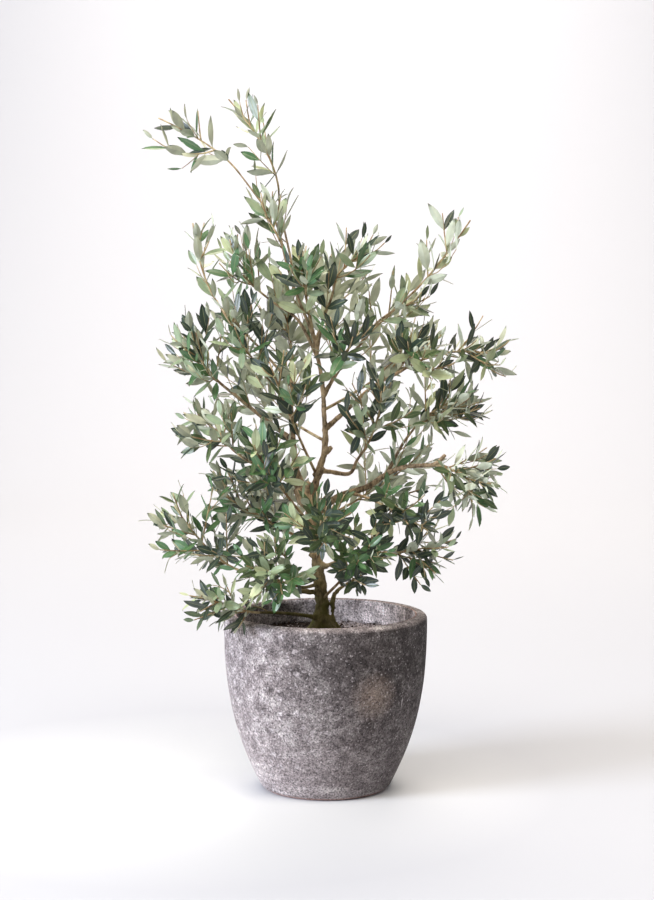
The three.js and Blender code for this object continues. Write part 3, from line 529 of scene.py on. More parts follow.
def green_twig(leaf):
    """Young olive wood: smooth, pale, between grey-tan and green."""
    material, add, place = new_material("young olive twig")
    tone = add("TexNoise", {"Vector": place, "Scale": grain(11.11), "Detail": 2.0})[0]
    colour = add("ValToRGB", {0: tone}, stops=[(0.4, leaf.old_twig), (0.62, leaf.twig)])[0]
    set_surface(material, colour, 0.7)
    return material


def paper_sweep(studio):
    """Matte seamless paper, plain and pale, with painted light round the pot where the pot would shade it.
    """
    material, add, place = new_material("seamless paper")
    # Painted light: the paper is paler round the pot, to cancel the pot's shade on it
    beside = (-180 * MM, 0.0, 0.0)
    away = add("VectorMath", {0: place, 1: beside}, operation="DISTANCE")["Value"]
    far = add("MapRange", {0: away, 1: 140 * MM, 2: 520 * MM})[0]
    colour = add("Mix", {0: far, 6: studio.bright, 7: studio.floor}, data_type="RGBA")[2]
    set_surface(material, colour, 0.9, 0.1)
    return material


def only(piece):
    """Selects a piece alone and makes it active, for the operators that work on the selection."""
    bpy.ops.object.select_all(action="DESELECT")
    piece.select_set(True)
    bpy.context.view_layer.objects.active = piece


def add_piece(name):
    """Names the object that an operator has just added, with its place in its mesh."""
    piece = bpy.context.object
    piece.name = name
    piece.data.name = name
    only(piece)
    bpy.ops.object.transform_apply(location=True, rotation=True, scale=True)
    return piece


def apply_modifier(piece, kind, **settings):
    """Adds a modifier to the piece, sets it and applies it."""
    only(piece)
    modifier = piece.modifiers.new(kind.lower(), kind)
    for name, value in settings.items():
        setattr(modifier, name, value)
    bpy.ops.object.modifier_apply(modifier=modifier.name)


def relief_texture(name, kind, **settings):
    """A texture for the relief of a surface."""
    texture = bpy.data.textures.new(name, kind)
    for setting, value in settings.items():
        setattr(texture, setting, value)
    return texture


def push_points(piece, weights, texture, strength, middle, **settings):
    """Pushes a piece's points in and out by a texture, each as far as its own weight lets it."""
    group = piece.vertex_groups.new(name="weights")
    for index, weight in weights.items():
        group.add([index], weight, "REPLACE")
    settings.update(texture=texture, strength=strength, mid_level=middle, vertex_group=group.name)
    apply_modifier(piece, "DISPLACE", **settings)


def joined_mesh(name, points, faces, slots, materials, sharp=None):
    """One piece of many small shapes, from their points in metres, their faces and each face's material."""
    mesh = bpy.data.meshes.new(name)
    mesh.from_pydata(points, [], faces)
    for material in materials:
        mesh.materials.append(material)
    mesh.polygons.foreach_set("material_index", np.ascontiguousarray(slots, dtype=np.int32))
    mesh.shade_smooth()
    if sharp:
        ends = np.empty(len(mesh.edges) * 2, dtype=np.int32)
        mesh.edges.foreach_get("vertices", ends)
        flags = sharp(ends.reshape(-1, 2))
        mesh.attributes.new("sharp_edge", "BOOLEAN", "EDGE").data.foreach_set("value", flags)
    mesh.update()
    piece = bpy.data.objects.new(name, mesh)
    bpy.context.scene.collection.objects.link(piece)
    return piece


# Pot and soil
BELLY_BELOW_RIM = 15 * MM  # the pot is widest from here up
BELLY_CURVE = 2.4
LIP_ROUND = 7 * MM
POT_FLOOR = 22 * MM


def pot_radius(pot, height):
    """Radius of the pot's outside at a height, in metres."""
    belly = pot.height - BELLY_BELOW_RIM
    below = max(0.0, (belly - height) / belly)
    return pot.rim_radius - (pot.rim_radius - pot.foot_radius) * below ** BELLY_CURVE


def pot_profile(pot):
    """The pot's outline as radii and heights, from the middle of its underside to that of its floor."""
    flat = pot.foot_radius - 8 * MM
    outline = [(flat, 0.0), (flat + 4 * MM, 0.4 * MM), (flat + 6.5 * MM, 2 * MM)]
    shoulder = pot.height - 8 * MM
    outline += [(pot_radius(pot, h), h) for h in np.linspace(6 * MM, shoulder - 2 * MM, 40)]
    for turn in (20, 42, 64, 84):
        angle = math.radians(turn)
        across = LIP_ROUND * (1 - math.cos(angle))
        outline.append((pot.rim_radius - across, shoulder + LIP_ROUND * math.sin(angle)))
    inner = pot.rim_radius - pot.wall
    outline += [
        (inner + 7 * MM, pot.height - 0.6 * MM),
        (inner + 3.2 * MM, pot.height - 1.6 * MM),
        (inner + 2.2 * MM, pot.height - 0.7 * MM),
        (inner + 0.9 * MM, pot.height - 0.4 * MM),
        (inner - 0.1 * MM, pot.height - 1.6 * MM),
        (inner - 0.3 * MM, pot.height - 4 * MM),
    ]
    outline += [(pot_radius(pot, h) - pot.wall, h) for h in np.linspace(pot.height - 9 * MM, 26 * MM, 24)]
    outline += [(pot_radius(pot, POT_FLOOR + 2 * MM) - pot.wall - 4 * MM, POT_FLOOR)]
    return outline


class OLIVE_OT_pot(bpy.types.Operator):
    """Throw the pot: a ring is drawn up and widened step by step, as on a wheel"""

    bl_idname = "olive.pot"
    bl_label = "Pot"

    def execute(self, context):
        pot = context.scene.olive_pot
        outline = pot_profile(pot)
        bpy.ops.object.select_all(action="DESELECT")
        radius, height = outline[0]
        bpy.ops.mesh.primitive_circle_add(
            vertices=128, radius=radius, fill_type="NGON", location=(0, 0, height)
        )
        piece = add_piece("earthenware_pot")
        bpy.ops.object.mode_set(mode="EDIT")
        bpy.ops.mesh.select_mode(type="EDGE")
        bpy.ops.mesh.select_all(action="SELECT")
        bpy.ops.mesh.region_to_loop()
        for wider, higher in outline[1:]:
            bpy.ops.mesh.extrude_edges_move(TRANSFORM_OT_translate={"value": (0, 0, higher - height)})
            scale = wider / radius
            bpy.ops.transform.resize(value=(scale, scale, 1), center_override=(0, 0, higher))
            radius, height = wider, higher
        bpy.ops.mesh.fill()
        bpy.ops.mesh.select_all(action="SELECT")
        bpy.ops.mesh.normals_make_consistent(inside=False)
        bpy.ops.object.mode_set(mode="OBJECT")
        # The maker's hand: the wall is out of true by under a millimetre
        foot = 4 * MM
        lip = pot.height - 12 * MM
        wall = {v.index: 1.0 for v in piece.data.vertices if foot < v.co.z < lip}
        uneven = relief_texture("hand thrown", "CLOUDS", noise_scale=70 * MM, noise_depth=1)
        push_points(piece, wall, uneven, 1.2 * MM, 0.6)
        bpy.ops.object.shade_smooth_by_angle(angle=math.radians(50))
        piece.data.materials.append(earthenware(pot))
        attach(piece, BODY)
        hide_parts("pot")
        return {"FINISHED"}


SOIL_RINGS = 26
# Few pale crumbs on the left, as painted shade on the soil there
PALE_CRUMBS = {"left": 0.08, "right": 0.6}  # the share of crumbs that are pale grit

# One rough crumb, with a radius of about 1: its points and its faces
CRUMB_POINTS = [
    [0.9, 0.1, 0.0], [0.2, 0.8, 0.1], [-0.8, 0.3, -0.1], [-0.4, -0.8, 0.05], [0.5, -0.7, -0.05],
    [0.3, 0.2, 0.75], [-0.3, -0.2, 0.65], [0.0, 0.1, -0.7],
]
CRUMB_FACES = [
    (0, 1, 5), (1, 6, 5), (1, 2, 6), (2, 3, 6), (3, 4, 6), (4, 5, 6), (4, 0, 5),
    (1, 0, 7), (2, 1, 7), (3, 2, 7), (4, 3, 7), (0, 4, 7),
]


def scatter_crumbs(soil, edge, materials):
    """One piece of loose crumbs on the soil out to its edge: one rough lump at many sizes and turns."""
    random = np.random.default_rng(5)
    points = []
    faces = []
    slots = []
    for _ in range(soil.crumbs):
        away = edge * math.sqrt(random.random()) * 0.985
        turn = random.random() * 2 * math.pi
        size = soil.crumb_size / 2 * between(0.3, 1.0, random.random() ** 2)
        turned = Matrix.Rotation(random.random() * 6.28, 3, Vector(random.normal(size=3)))
        away = min(away, edge - size)
        height = soil.level - 0.8 * MM - away / edge * MM
        spot = np.array([away * math.cos(turn), away * math.sin(turn), height])
        start = len(points)
        points += [tuple(spot + size * np.array(turned @ Vector(corner))) for corner in CRUMB_POINTS]
        faces += [tuple(start + i for i in face) for face in CRUMB_FACES]
        # Pale crumbs are few on the left, as painted shade
        pale = random.random() < PALE_CRUMBS["right" if spot[0] > 12 * MM else "left"]
        slots += [int(pale)] * len(CRUMB_FACES)
    return joined_mesh("soil_crumbs", points, faces, slots, materials)


class OLIVE_OT_soil(bpy.types.Operator):
    """Fill the pot: a heaped, uneven bed of soil with loose crumbs on it"""

    bl_idname = "olive.soil"
    bl_label = "Soil"

    def execute(self, context):
        soil = context.scene.olive_soil
        pot = context.scene.olive_pot
        edge = pot_radius(pot, soil.level) - pot.wall - 0.6 * MM
        bpy.ops.object.select_all(action="DESELECT")
        bottom = (0, 0, soil.level - 5 * MM)
        bpy.ops.mesh.primitive_circle_add(vertices=96, radius=edge, fill_type="NGON", location=bottom)
        piece = add_piece("soil_bed")
        bpy.ops.object.mode_set(mode="EDIT")
        bpy.ops.mesh.select_mode(type="FACE")
        bpy.ops.mesh.select_all(action="SELECT")
        bpy.ops.mesh.extrude_region_move(TRANSFORM_OT_translate={"value": (0, 0, 4 * MM)})
        for _ in range(SOIL_RINGS):
            bpy.ops.mesh.inset(thickness=edge / (SOIL_RINGS + 2))
        bpy.ops.mesh.select_all(action="SELECT")
        bpy.ops.mesh.normals_make_consistent(inside=False)
        bpy.ops.object.mode_set(mode="OBJECT")
        # Lumps and hollows, with a slight rise towards the trunk
        top = {v.index: 1.0 for v in piece.data.vertices if v.co.z > soil.level - 3 * MM}
        for index in top:
            place = piece.data.vertices[index].co
            place.z += between(2.2, -1.4, math.hypot(place.x, place.y) / edge) * MM
        lumps = relief_texture("lumps of soil", "CLOUDS", noise_scale=12 * MM, noise_depth=3)
        push_points(piece, top, lumps, 6 * MM, 0.75, direction="Z")
        material = potting_soil(soil)
        piece.data.materials.append(material)
        piece.data.shade_smooth()
        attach(piece, BODY)
        crumbs = scatter_crumbs(soil, edge, [material, pale_grit(soil)])
        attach(crumbs, BODY)
        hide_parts("soil")
        return {"FINISHED"}


# Growth: the rule of the solids, written again
class Line:
    """A line through many points in millimetres, read by shares of its length."""

    def __init__(self, points):
        self.points = points
        steps = np.linalg.norm(np.diff(points, axis=0), axis=1)
        self.lengths = np.concatenate([[0], np.cumsum(steps)])
        self.length = self.lengths[-1]

    def along(self, shares):
        """Points at shares of the length."""
        at = np.atleast_1d(shares) * self.length
        return np.stack([np.interp(at, self.lengths, self.points[:, a]) for a in range(3)], axis=1)

    def point(self, share):
        return self.along(share)[0]


class Curve(Line):
    """A smooth curve through knots, as the limbs of the frame follow."""

    def __init__(self, knots):
        self.knots = np.array(knots, dtype=float)
        super().__init__(np.array([self.at(share) for share in np.linspace(0, 1, 401)]))

    def at(self, share):
        """The point at a share of the way from the first to the last knot, counted in knots."""
        last = len(self.knots) - 1
        place = share * last
        i = min(int(place), last - 1)
        t = place - i
        p1, p2 = self.knots[i], self.knots[i + 1]
        p0 = self.knots[i - 1] if i > 0 else 2 * p1 - p2
        p3 = self.knots[i + 2] if i + 2 <= last else 2 * p2 - p1
        t0, t1 = (p2 - p0) / 2, (p3 - p1) / 2
        return (
            (2 * p1 - 2 * p2 + t0 + t1) * t ** 3 + (-3 * p1 + 3 * p2 - 2 * t0 - t1) * t ** 2 + t0 * t + p1
        )

    def tangent(self, share):
        return unit(self.point(min(share + 0.01, 1.0)) - self.point(max(share - 0.01, 0.0)))


class Path(Line):
    """A stem's, shoot's or twig's path: a line with one bend."""

    def __init__(self, start, bend, end, steps):
        t = np.linspace(0, 1, steps + 1)[:, None]
        super().__init__((1 - t) ** 2 * start + 2 * t * (1 - t) * bend + t ** 2 * end)

    def tangent(self, share):
        i = int(np.searchsorted(self.lengths, share * self.length, side="right")) - 1
        i = max(min(i, len(self.points) - 2), 0)
        return unit(self.points[i + 1] - self.points[i])


class SeededRandom:
    """The minimal standard generator, so that shoots fall as in the frame's solids."""

    def __init__(self, seed):
        self.state = (seed * 7919) % 2147483647

    def __call__(self):
        self.state = (self.state * 16807) % 2147483647
        return self.state / 2147483647


TRUNK_TAPER = 1.6
COLLAR = 0.35  # how much wider a bough is at its very foot
FORK = (0.4, 0.05, 3.2)  # its share of the trunk's length, half its length as a share, and its swelling
FLARE = (228, 11)  # the height of the roots' flare, and how soon it fades above


def trunk_radius(limb, share, height):
    """Radius of the trunk at a share of its length, in millimetres: taper, swelling at the fork, flare."""
    at, reach, swelling = FORK
    base, fading = FLARE
    plain = between(limb.trunk_tip, limb.trunk_foot, (1 - share) ** TRUNK_TAPER) / MM
    knuckle = swelling * math.exp(-(((share - at) / reach) ** 2))
    flare = limb.flare / MM * math.exp(-max(0.0, height - base) / fading)
    return plain + knuckle + flare


def grow_limbs(limb):
    """Curves and radii of the trunk and boughs, in millimetres."""
    trunk = Curve(TRUNK_LINE)
    limbs = {"trunk": (trunk, lambda share: trunk_radius(limb, share, trunk.along(share)[0, 2]))}
    for name, (parent, at, foot, tip, line) in BOUGHS.items():
        curve = Curve([limbs[parent][0].at(at)] + line)

        def radius(share, foot=foot, tip=tip, length=curve.length):
            return between(foot, tip, share) + COLLAR * foot * math.exp(-share * length / (2 * foot))

        limbs[name] = (curve, radius)
    return limbs


def add_limb_curve(name, points, radii):
    """A curve with a round section, whose points are in millimetres."""
    data = bpy.data.curves.new(name, "CURVE")
    data.dimensions = "3D"
    data.bevel_depth = MM
    data.bevel_resolution = 5
    data.use_fill_caps = True
    spline = data.splines.new("POLY")
    spline.points.add(len(points) - 1)
    for knot, point, radius in zip(spline.points, points, radii):
        knot.co = (*(np.array(point) * MM), 1)
        knot.radius = radius
    piece = bpy.data.objects.new(name, data)
    bpy.context.scene.collection.objects.link(piece)
    return piece


# Roots, gnarls and stubs on the trunk: their points and radii
GNARLS = [
    ([[-5, 0, 262], [-14, -14, 240], [-24, -26, 226]], [9, 7.5, 4]),
    ([[-4, 0, 258], [10, -12, 238], [20, -20, 226]], [9, 7, 4]),
    ([[-4, 0, 256], [14, 6, 238], [27, 12, 226]], [8, 6, 3.5]),
    ([[-5, 0, 260], [-18, 6, 240], [-30, 10, 226]], [9, 6.5, 4]),
    ([[-4, 0, 254], [0, 16, 238], [4, 27, 226]], [8, 6.5, 4]),
    ([[-22, -2, 418], [-32, -7, 431], [-42, -9, 446]], [10, 11, 7]),
    ([[-19, 2, 408], [-12, -5, 418], [-3, -7, 428]], [9, 9, 6]),
    ([[-38, 0, 450], [-50, -4, 458], [-60, -6, 459]], [8, 6, 3.6]),
    ([[-30, -6, 440], [-27, -12, 448], [-24, -15, 456]], [7, 6, 3.5]),
    ([[-13, 4, 462], [-8, -3, 470], [-3, -7, 476]], [7, 5.5, 3.2]),
    ([[-12, -2, 340], [-18, -7, 345], [-22, -9, 349]], [7, 5.5, 3.5]),
    ([[-1, 4, 498], [4, -2, 502], [9, -4, 506]], [5.5, 4.6, 3]),
]
CUT_END = ([[156, -50, 484], [164, -54, 490], [172, -60, 499]], [3.0, 3.0, 2.9])  # the right bough's, sawn
# A shoot from the foot of the trunk, with its radii at foot and tip
BASAL_SHOOT = (
    [[0, -2, 230], [11, -2, 246], [12, -2, 284], [29, 8, 300], [60, 20, 316], [81, 25, 327]], 3.8, 1.3,
)
# The bark's relief: the heights and the distances from the trunk's middle between which it fades, and its
# least share
BARK_HEIGHTS = (250, 700)
BARK_REACH = (18, 30)
BARK_LEAST = 0.12


def bark_depth(values, whole, gone):
    """How deep the bark's relief is, as a share: whole up to one value, and fading towards another."""
    return np.clip((gone - values) / (gone - whole), BARK_LEAST, 1.0)


class OLIVE_OT_limbs(bpy.types.Operator):
    """Grow the trunk and boughs, join them into one skin and give it the bark's relief"""

    bl_idname = "olive.limbs"
    bl_label = "Trunk and boughs"

    def execute(self, context):
        limb = context.scene.olive_limbs
        limbs = grow_limbs(limb)
        wires = []
        for name, (curve, radius) in limbs.items():
            shares = np.linspace(0, 1, max(6, int(curve.length / 5)))
            wires.append(add_limb_curve(name, curve.along(shares), [radius(share) for share in shares]))
        for points, radii in GNARLS + [CUT_END]:
            curve = Curve(points)
            shares = np.linspace(0, 1, 9)
            at = np.linspace(0, 1, len(radii))
            wires.append(add_limb_curve("gnarl", curve.along(shares), np.interp(shares, at, radii)))
        points, foot, tip = BASAL_SHOOT
        curve = Curve(points)
        shares = np.linspace(0, 1, 24)
        wires.append(add_limb_curve("basal_shoot", curve.along(shares), between(foot, tip, shares)))
        bpy.ops.object.select_all(action="DESELECT")
        for wire in wires:
            wire.select_set(True)
        bpy.context.view_layer.objects.active = wires[0]
        bpy.ops.object.convert(target="MESH")
        bpy.ops.object.join()
        piece = add_piece("olive_limbs")
        apply_modifier(piece, "REMESH", mode="VOXEL", voxel_size=limb.grain)
        apply_modifier(piece, "SMOOTH", factor=0.5, iterations=4)
        # Furrows and knots in the bark, deeper the thicker the limb
        furrows = relief_texture(
            "bark furrows", "MUSGRAVE", musgrave_type="RIDGED_MULTIFRACTAL", noise_scale=11 * MM, octaves=3
        )
        lumps = relief_texture("bark lumps", "CLOUDS", noise_scale=18 * MM, noise_depth=2)
        places = np.array([v.co for v in piece.data.vertices]) / MM
        line = limbs["trunk"][0].along(np.linspace(0, 1, 200))
        gaps = np.array([np.min(np.linalg.norm(line - place, axis=1)) for place in places])
        depths = bark_depth(places[:, 2], *BARK_HEIGHTS) * bark_depth(gaps, *BARK_REACH)
        weights = dict(enumerate(depths.tolist()))
        push_points(piece, weights, lumps, 7 * MM, 0.5)
        push_points(piece, weights, furrows, 1.6 * MM, 0.5)
        # The trunk ends flat, just under the soil
        bpy.ops.object.mode_set(mode="EDIT")
        bpy.ops.mesh.select_all(action="SELECT")
        bpy.ops.mesh.bisect(
            plane_co=(0, 0, SOIL_BOX[1][2] - 4 * MM), plane_no=(0, 0, 1), clear_inner=True, use_fill=True
        )
        bpy.ops.object.mode_set(mode="OBJECT")
        piece.data.shade_smooth()
        piece.data.materials.clear()
        piece.data.materials.append(olive_bark(limb))
        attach(piece, BODY)
        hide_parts("trunk", *["bough_" + name for name in BOUGHS])
        return {"FINISHED"}


def sideways(axis, angle):
    """A unit vector square to the axis, at the given angle round it."""
    level = np.cross(axis, UP)
    level = unit(level) if np.linalg.norm(level) > 0.05 else np.array([1.0, 0, 0])
    other = np.cross(axis, level)
    return level * math.cos(math.radians(angle)) + other * math.sin(math.radians(angle))


def leaning(axis, lean, turn):
    """A unit vector that leans from the axis by one angle, towards another angle round it."""
    return axis * math.cos(math.radians(lean)) + sideways(axis, turn) * math.sin(math.radians(lean))


def clear_of_pot(points):
    """Whether each point is out of the pot's wall and above the soil."""
    radial = np.hypot(points[:, 0], points[:, 1])
    height = points[:, 2]
    outside = (radial > OUTSIDE_POT[0]) & (height > OUTSIDE_POT[1])
    inside = (radial < INSIDE_POT[0]) & (height > INSIDE_POT[1])
    return outside | inside | (height > ABOVE_POT)


class Space:
    """A mass's space: an ellipsoid, cut by a plane towards each other mass, and clear of pot and limbs."""

    def __init__(self, name, beads):
        self.centre = np.array(MASSES[name].centre, dtype=float)
        self.reach = np.array(MASSES[name].reach, dtype=float)
        normals = []
        borders = []
        for other, mass in MASSES.items():
            if other != name:
                towards = np.array(mass.centre, dtype=float) - self.centre
                distance = np.linalg.norm(towards)
                power = self.reach.max() ** 2 - max(mass.reach) ** 2 + BORDER_RISE * towards[2]
                normals.append(towards / distance)
                borders.append((distance ** 2 + power) / (2 * distance))
        self.normals = np.array(normals)
        self.borders = np.array(borders)
        near = np.linalg.norm(beads[:, :3] - self.centre, axis=1) < self.reach.max() + LIMB_NEAR
        self.beads = beads[near]

    def holds(self, points, margin=0.0, play=0.0):
        """Whether all the points lie inside, by a margin. Play lets them cross a neighbour's border."""
        points = np.atleast_2d(points)
        offset = points - self.centre
        if np.any(np.sum((offset / (self.reach - margin)) ** 2, axis=1) > 1):
            return False
        if np.any(offset @ self.normals.T > self.borders - margin + play):
            return False
        return bool(np.all(clear_of_pot(points)))

    def passes(self, curve):
        """Whether a limb passes near enough to bear twigs in the space."""
        gaps = np.linalg.norm(curve.points[::8] - self.centre, axis=1)
        return bool(np.min(gaps) < self.reach.max() + LIMB_BEARING)

    def clear(self, points, radius):
        """Whether all the points keep clear of the limbs and of other masses' stems."""
        points = np.atleast_2d(points)
        gaps = np.linalg.norm(points[:, None, :] - self.beads[None, :, :3], axis=2) - self.beads[None, :, 3]
        return bool(np.all(gaps > radius))


def stem_of(mass, limbs):
    """A mass's stem, from the bough's tip or from within the trunk, through its middle and on."""
    centre = np.array(mass.centre, dtype=float)
    on_bough = isinstance(mass.foot, str)
    from_tip = on_bough or mass.foot == 1
    curve, radius = limbs[mass.foot if on_bough else "trunk"]
    start = curve.at(1.0 if from_tip else mass.foot)
    end = centre + (centre - start) * PAST_CENTRE["bough" if from_tip else "trunk"]
    length = np.linalg.norm(end - start)
    bend = (start + end) / 2 - UP * STEM_SAG * length
    if from_tip:
        leaving = unit(curve.at(1.0) - curve.at(0.999))
        bend = start + leaving * STEM_LEAVING * length
        start = start - leaving * STEM_SUNK
    return Path(start, bend, end, 10), radius(1.0) if from_tip else STEM_FOOT


def beads_along(line, radius, gap):
    """Points along a line, about a gap apart, each with the line's radius there."""
    shares = np.linspace(0, 1, int(line.length / gap) + 2)
    return np.column_stack([line.along(shares), [radius(share) for share in shares]])


def fitted_shoot(start, out, longest, lift, space):
    """The longest shoot up to a length that fits in the mass's space, outwards and then up, or nothing."""
    length = longest
    while length > SHOOT_SHORTEST:
        end = start + out * length + UP * length * lift
        path = Path(start, start + out * length * 0.5, end, 6)
        probes = path.points[2:]
        if space.holds(end, LEAF_ROOM) and space.holds(probes) and space.clear(probes, 3):
            return path
        length *= 0.9
    return None


def shoots_of(mass, stem, space):
    """A mass's shoots, by the rule of the solids: a spiral up the stem, leaning out and then turning up.
    Each takes the side of the stem where it grows longest and furthest from the tips of those before it."""
    random = SeededRandom(mass.seed)
    lift = between(*SHOOT_LIFT, uprightness(mass))
    lowest, highest = SHOOT_SPAN
    inside = [space.holds(stem.point(i / 20)) for i in range(21)]
    entry = inside.index(True) / 20 if True in inside else 0
    shoots = []
    for i in range(mass.shoots):
        along = between(max(entry, lowest), highest, (i + 0.7 * random()) / mass.shoots)
        turn = i * GOLDEN_ANGLE + 50 * (random() - 0.5)
        lean = between(*SHOOT_LEAN, along) + 20 * (random() - 0.5)
        length = SHOOT_LENGTH * between(1, 0.75, along) * between(0.75, 1.25, random())
        start = stem.point(along)
        axis = stem.tangent(along)
        tips = np.array([path.points[-1] for path in shoots + [stem]])
        best, best_score = None, 0
        for side in range(SHOOT_SIDES):
            out = leaning(axis, lean, turn + side * 360 / SHOOT_SIDES)
            path = fitted_shoot(start, out, length, lift, space)
            if path:
                nearest = np.min(np.linalg.norm(tips - path.points[-1], axis=1))
                score = path.length + min(nearest, SHOOT_ROOM)
                if score > best_score:
                    best, best_score = path, score
        if best:
            shoots.append(best)
    return shoots


def side_twigs(paths, space, random, lift, spacing, lengths, first, play):
    """Finer twigs along others, in a spiral, shorter towards the tip."""
    twigs = []
    for path in paths:
        count = int(path.length * (1 - first) / spacing)
        for i in range(count):
            along = between(first, 0.94, (i + 0.6 * random.random()) / max(count, 1))
            turn = i * GOLDEN_ANGLE + 360 * random.random() * 0.3
            lean = between(*TWIG_LEAN, along) + 16 * (random.random() - 0.5)
            length = between(*lengths, random.random()) * between(1.0, 0.66, along)
            start = path.point(along)
            out = leaning(path.tangent(along), lean, turn)
            while length > TWIG_SHORTEST:
                end = start + out * length + UP * length * lift
                twig = Path(start, start + out * length * 0.5, end, 4)
                if space.holds(end, TIP_ROOM, play + TIP_ROOM) and space.clear(twig.points[1:], 2):
                    twigs.append(twig)
                    break
                length *= 0.82
    return twigs


def by_height(height, at_foot, at_top):
    """A value that changes up the tree, as leaves in the shade low down are shorter and broader."""
    low, high = LEAF_HEIGHTS
    return between(at_foot, at_top, min(max((height - low) / (high - low), 0.0), 1.0))


# A grown leaf: its foot, its direction, which way its upper side faces, its length, how bent and how folded
# it is, and the share of its twig's length where it stands
Leaf = namedtuple("Leaf", "root along face length bent folded share")


def leaves_on(path, space, random, leaf, lift, first):
    """Leaves in pairs along a twig, each pair turned a quarter from the last, with one at the tip."""
    leaves = []
    scale = by_height(path.point(0.5)[2], *LEAF_SCALES)
    gap = leaf.spacing / MM * scale * by_height(path.point(0.5)[2], *LEAF_GAPS)
    pairs = max(1, round(path.length * (1 - first) / gap))
    spin = 360 * random.random()
    for k in range(pairs, -1, -1):
        share = between(first, 0.99, k / pairs)
        axis = path.tangent(share)
        root = path.point(share)
        turn = spin + k * 90 + 26 * (random.random() - 0.5)
        vigour = 1.06 - 0.36 * (k / pairs) ** 2
        for way in ((0, 180) if k < pairs else (0,)):
            lean = between(*LEAF_LEAN, k / pairs) + 24 * (random.random() - 0.5)
            length = leaf.length / MM * scale * vigour * between(*LEAF_SIZES, random.random())
            along = unit(leaning(axis, lean, turn + way) + UP * lift)
            outward = unit(np.array([root[0], root[1], 0.0]))
            face = axis + (outward + 0.5 * UP) * by_height(root[2], *LEAF_FACING)
            face = unit(face - along * np.dot(face, along))
            roll = math.radians(LEAF_ROLL * (random.random() - 0.5))
            across = np.cross(face, along)
            face = face * math.cos(roll) + across * math.sin(roll)
            fitted = length
            for _ in range(3):
                points = root + along * np.array([[0.35], [0.65], [1.0]]) * fitted
                if space.holds(points, play=LEAF_PLAY) and space.clear(points, 2.5):
                    leaves.append(Leaf(root, along, face, fitted, random.random(), random.random(), share))
                    break
                fitted *= 0.85
    return leaves


# Outline of a leaf: half its width at shares of its length, from the stalk to the tip
LEAF_STATIONS = np.array([0.0, 0.06, 0.14, 0.3, 0.48, 0.66, 0.85, 1.0])
LEAF_WIDTHS = np.array([0.09, 0.09, 0.36, 0.82, 1.0, 0.92, 0.54, 0.02])
LEAF_TOP = [-1.0, -0.5, -0.06, 0.06, 0.5, 1.0]
LEAF_UNDER = [0.5, 0.0, -0.5]
LEAF_RING = len(LEAF_TOP) + len(LEAF_UNDER)
LEAF_SHARP = (0, 2, 3, 5, 7)
LEAF_BEND = (-0.1, 0.2)  # how far the tip hangs, as a share of the length
LEAF_FOLD = (0.04, 0.3)  # how far the halves are folded up from the midrib
LEAF_PLUMP = (0.82, 1.18)  # play of the breadth
STALK_THICK = 1.6  # the stalk against the blade
RIB_CREASE = (-0.1, -0.12)  # the midrib's furrow above and its ridge below, in millimetres
EDGE_DROOP = 0.12
STALK_ROWS = 1
MOST_LEAVES = 1300  # in one piece


def leaf_points(leaves, leaf):
    """The points of all the leaves, ring by ring from the stalk to the tip, in millimetres."""
    root, along, face, length, bent, folded = (np.array([grown[i] for grown in leaves]) for i in range(6))
    breadth = np.array([by_height(height, *LEAF_BREADTHS) for height in root[:, 2]])
    breadth *= between(*LEAF_PLUMP, folded)
    across = np.cross(face, along)
    # From here on the first index is the leaf, the second its station, and the third a point of that ring
    bend = between(*LEAF_BEND, bent)[:, None, None]
    fold = between(*LEAF_FOLD, folded)[:, None, None]
    length = length[:, None, None]
    half = leaf.width / leaf.length * length * breadth[:, None, None] / 2
    station = LEAF_STATIONS[None, :, None]
    column = np.array(LEAF_TOP + LEAF_UNDER)[None, None, :]
    under = np.array([0] * len(LEAF_TOP) + [1] * len(LEAF_UNDER))[None, None, :]
    wide = LEAF_WIDTHS[None, :, None] * column
    thick = np.where(station < 0.1, STALK_THICK, 1.0) * (leaf.thickness / MM)
    raised = fold * half * np.abs(wide) * 0.9
    depth = -under * thick * (1 - 0.5 * np.abs(column))
    crease = np.where(np.abs(column) < 0.2, np.where(under == 1, RIB_CREASE[1], RIB_CREASE[0]), 0.0)
    curve = -bend * length * station ** 2
    lift = raised + depth + crease + curve - EDGE_DROOP * half * np.abs(wide) ** 3
    return (
        root[:, None, None, :]
        + along[:, None, None, :] * (station * length)[..., None]
        + across[:, None, None, :] * (wide * half)[..., None]
        + face[:, None, None, :] * lift[..., None]
    ).reshape(-1, 3)


def leaf_piece(name, leaves, leaf, materials):
    """One piece of many leaves, each a closed blade with an upper skin, a midrib and a silvery underside."""
    rows = len(LEAF_STATIONS)
    per_leaf = rows * LEAF_RING
    row, column = np.meshgrid(np.arange(rows - 1), np.arange(LEAF_RING), indexing="ij")
    following = (column + 1) % LEAF_RING
    quads = np.stack([
        row * LEAF_RING + column, (row + 1) * LEAF_RING + column,
        (row + 1) * LEAF_RING + following, row * LEAF_RING + following,
    ], axis=-1).reshape(-1, 4)[:, ::-1]
    slot = np.where(column < 5, 0, 2)
    slot = np.where(column == 2, 1, slot)
    slot = np.where(row < STALK_ROWS, 3, slot).reshape(-1)
    caps = [list(range(LEAF_RING)), list(range(per_leaf - 1, per_leaf - LEAF_RING - 1, -1))]
    faces = []
    slots = []
    for i in range(len(leaves)):
        faces += (quads + i * per_leaf).tolist()
        faces += [[c + i * per_leaf for c in cap] for cap in caps]
        slots.append(np.concatenate([slot, [3, 0]]))

    def is_rim(ends):
        rings = ends % LEAF_RING
        return (rings[:, 0] == rings[:, 1]) & np.isin(rings[:, 0], LEAF_SHARP)

    points = (leaf_points(leaves, leaf) * MM).tolist()
    piece = joined_mesh(name, points, faces, np.concatenate(slots), materials, is_rim)
    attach(piece, BODY)
    return piece


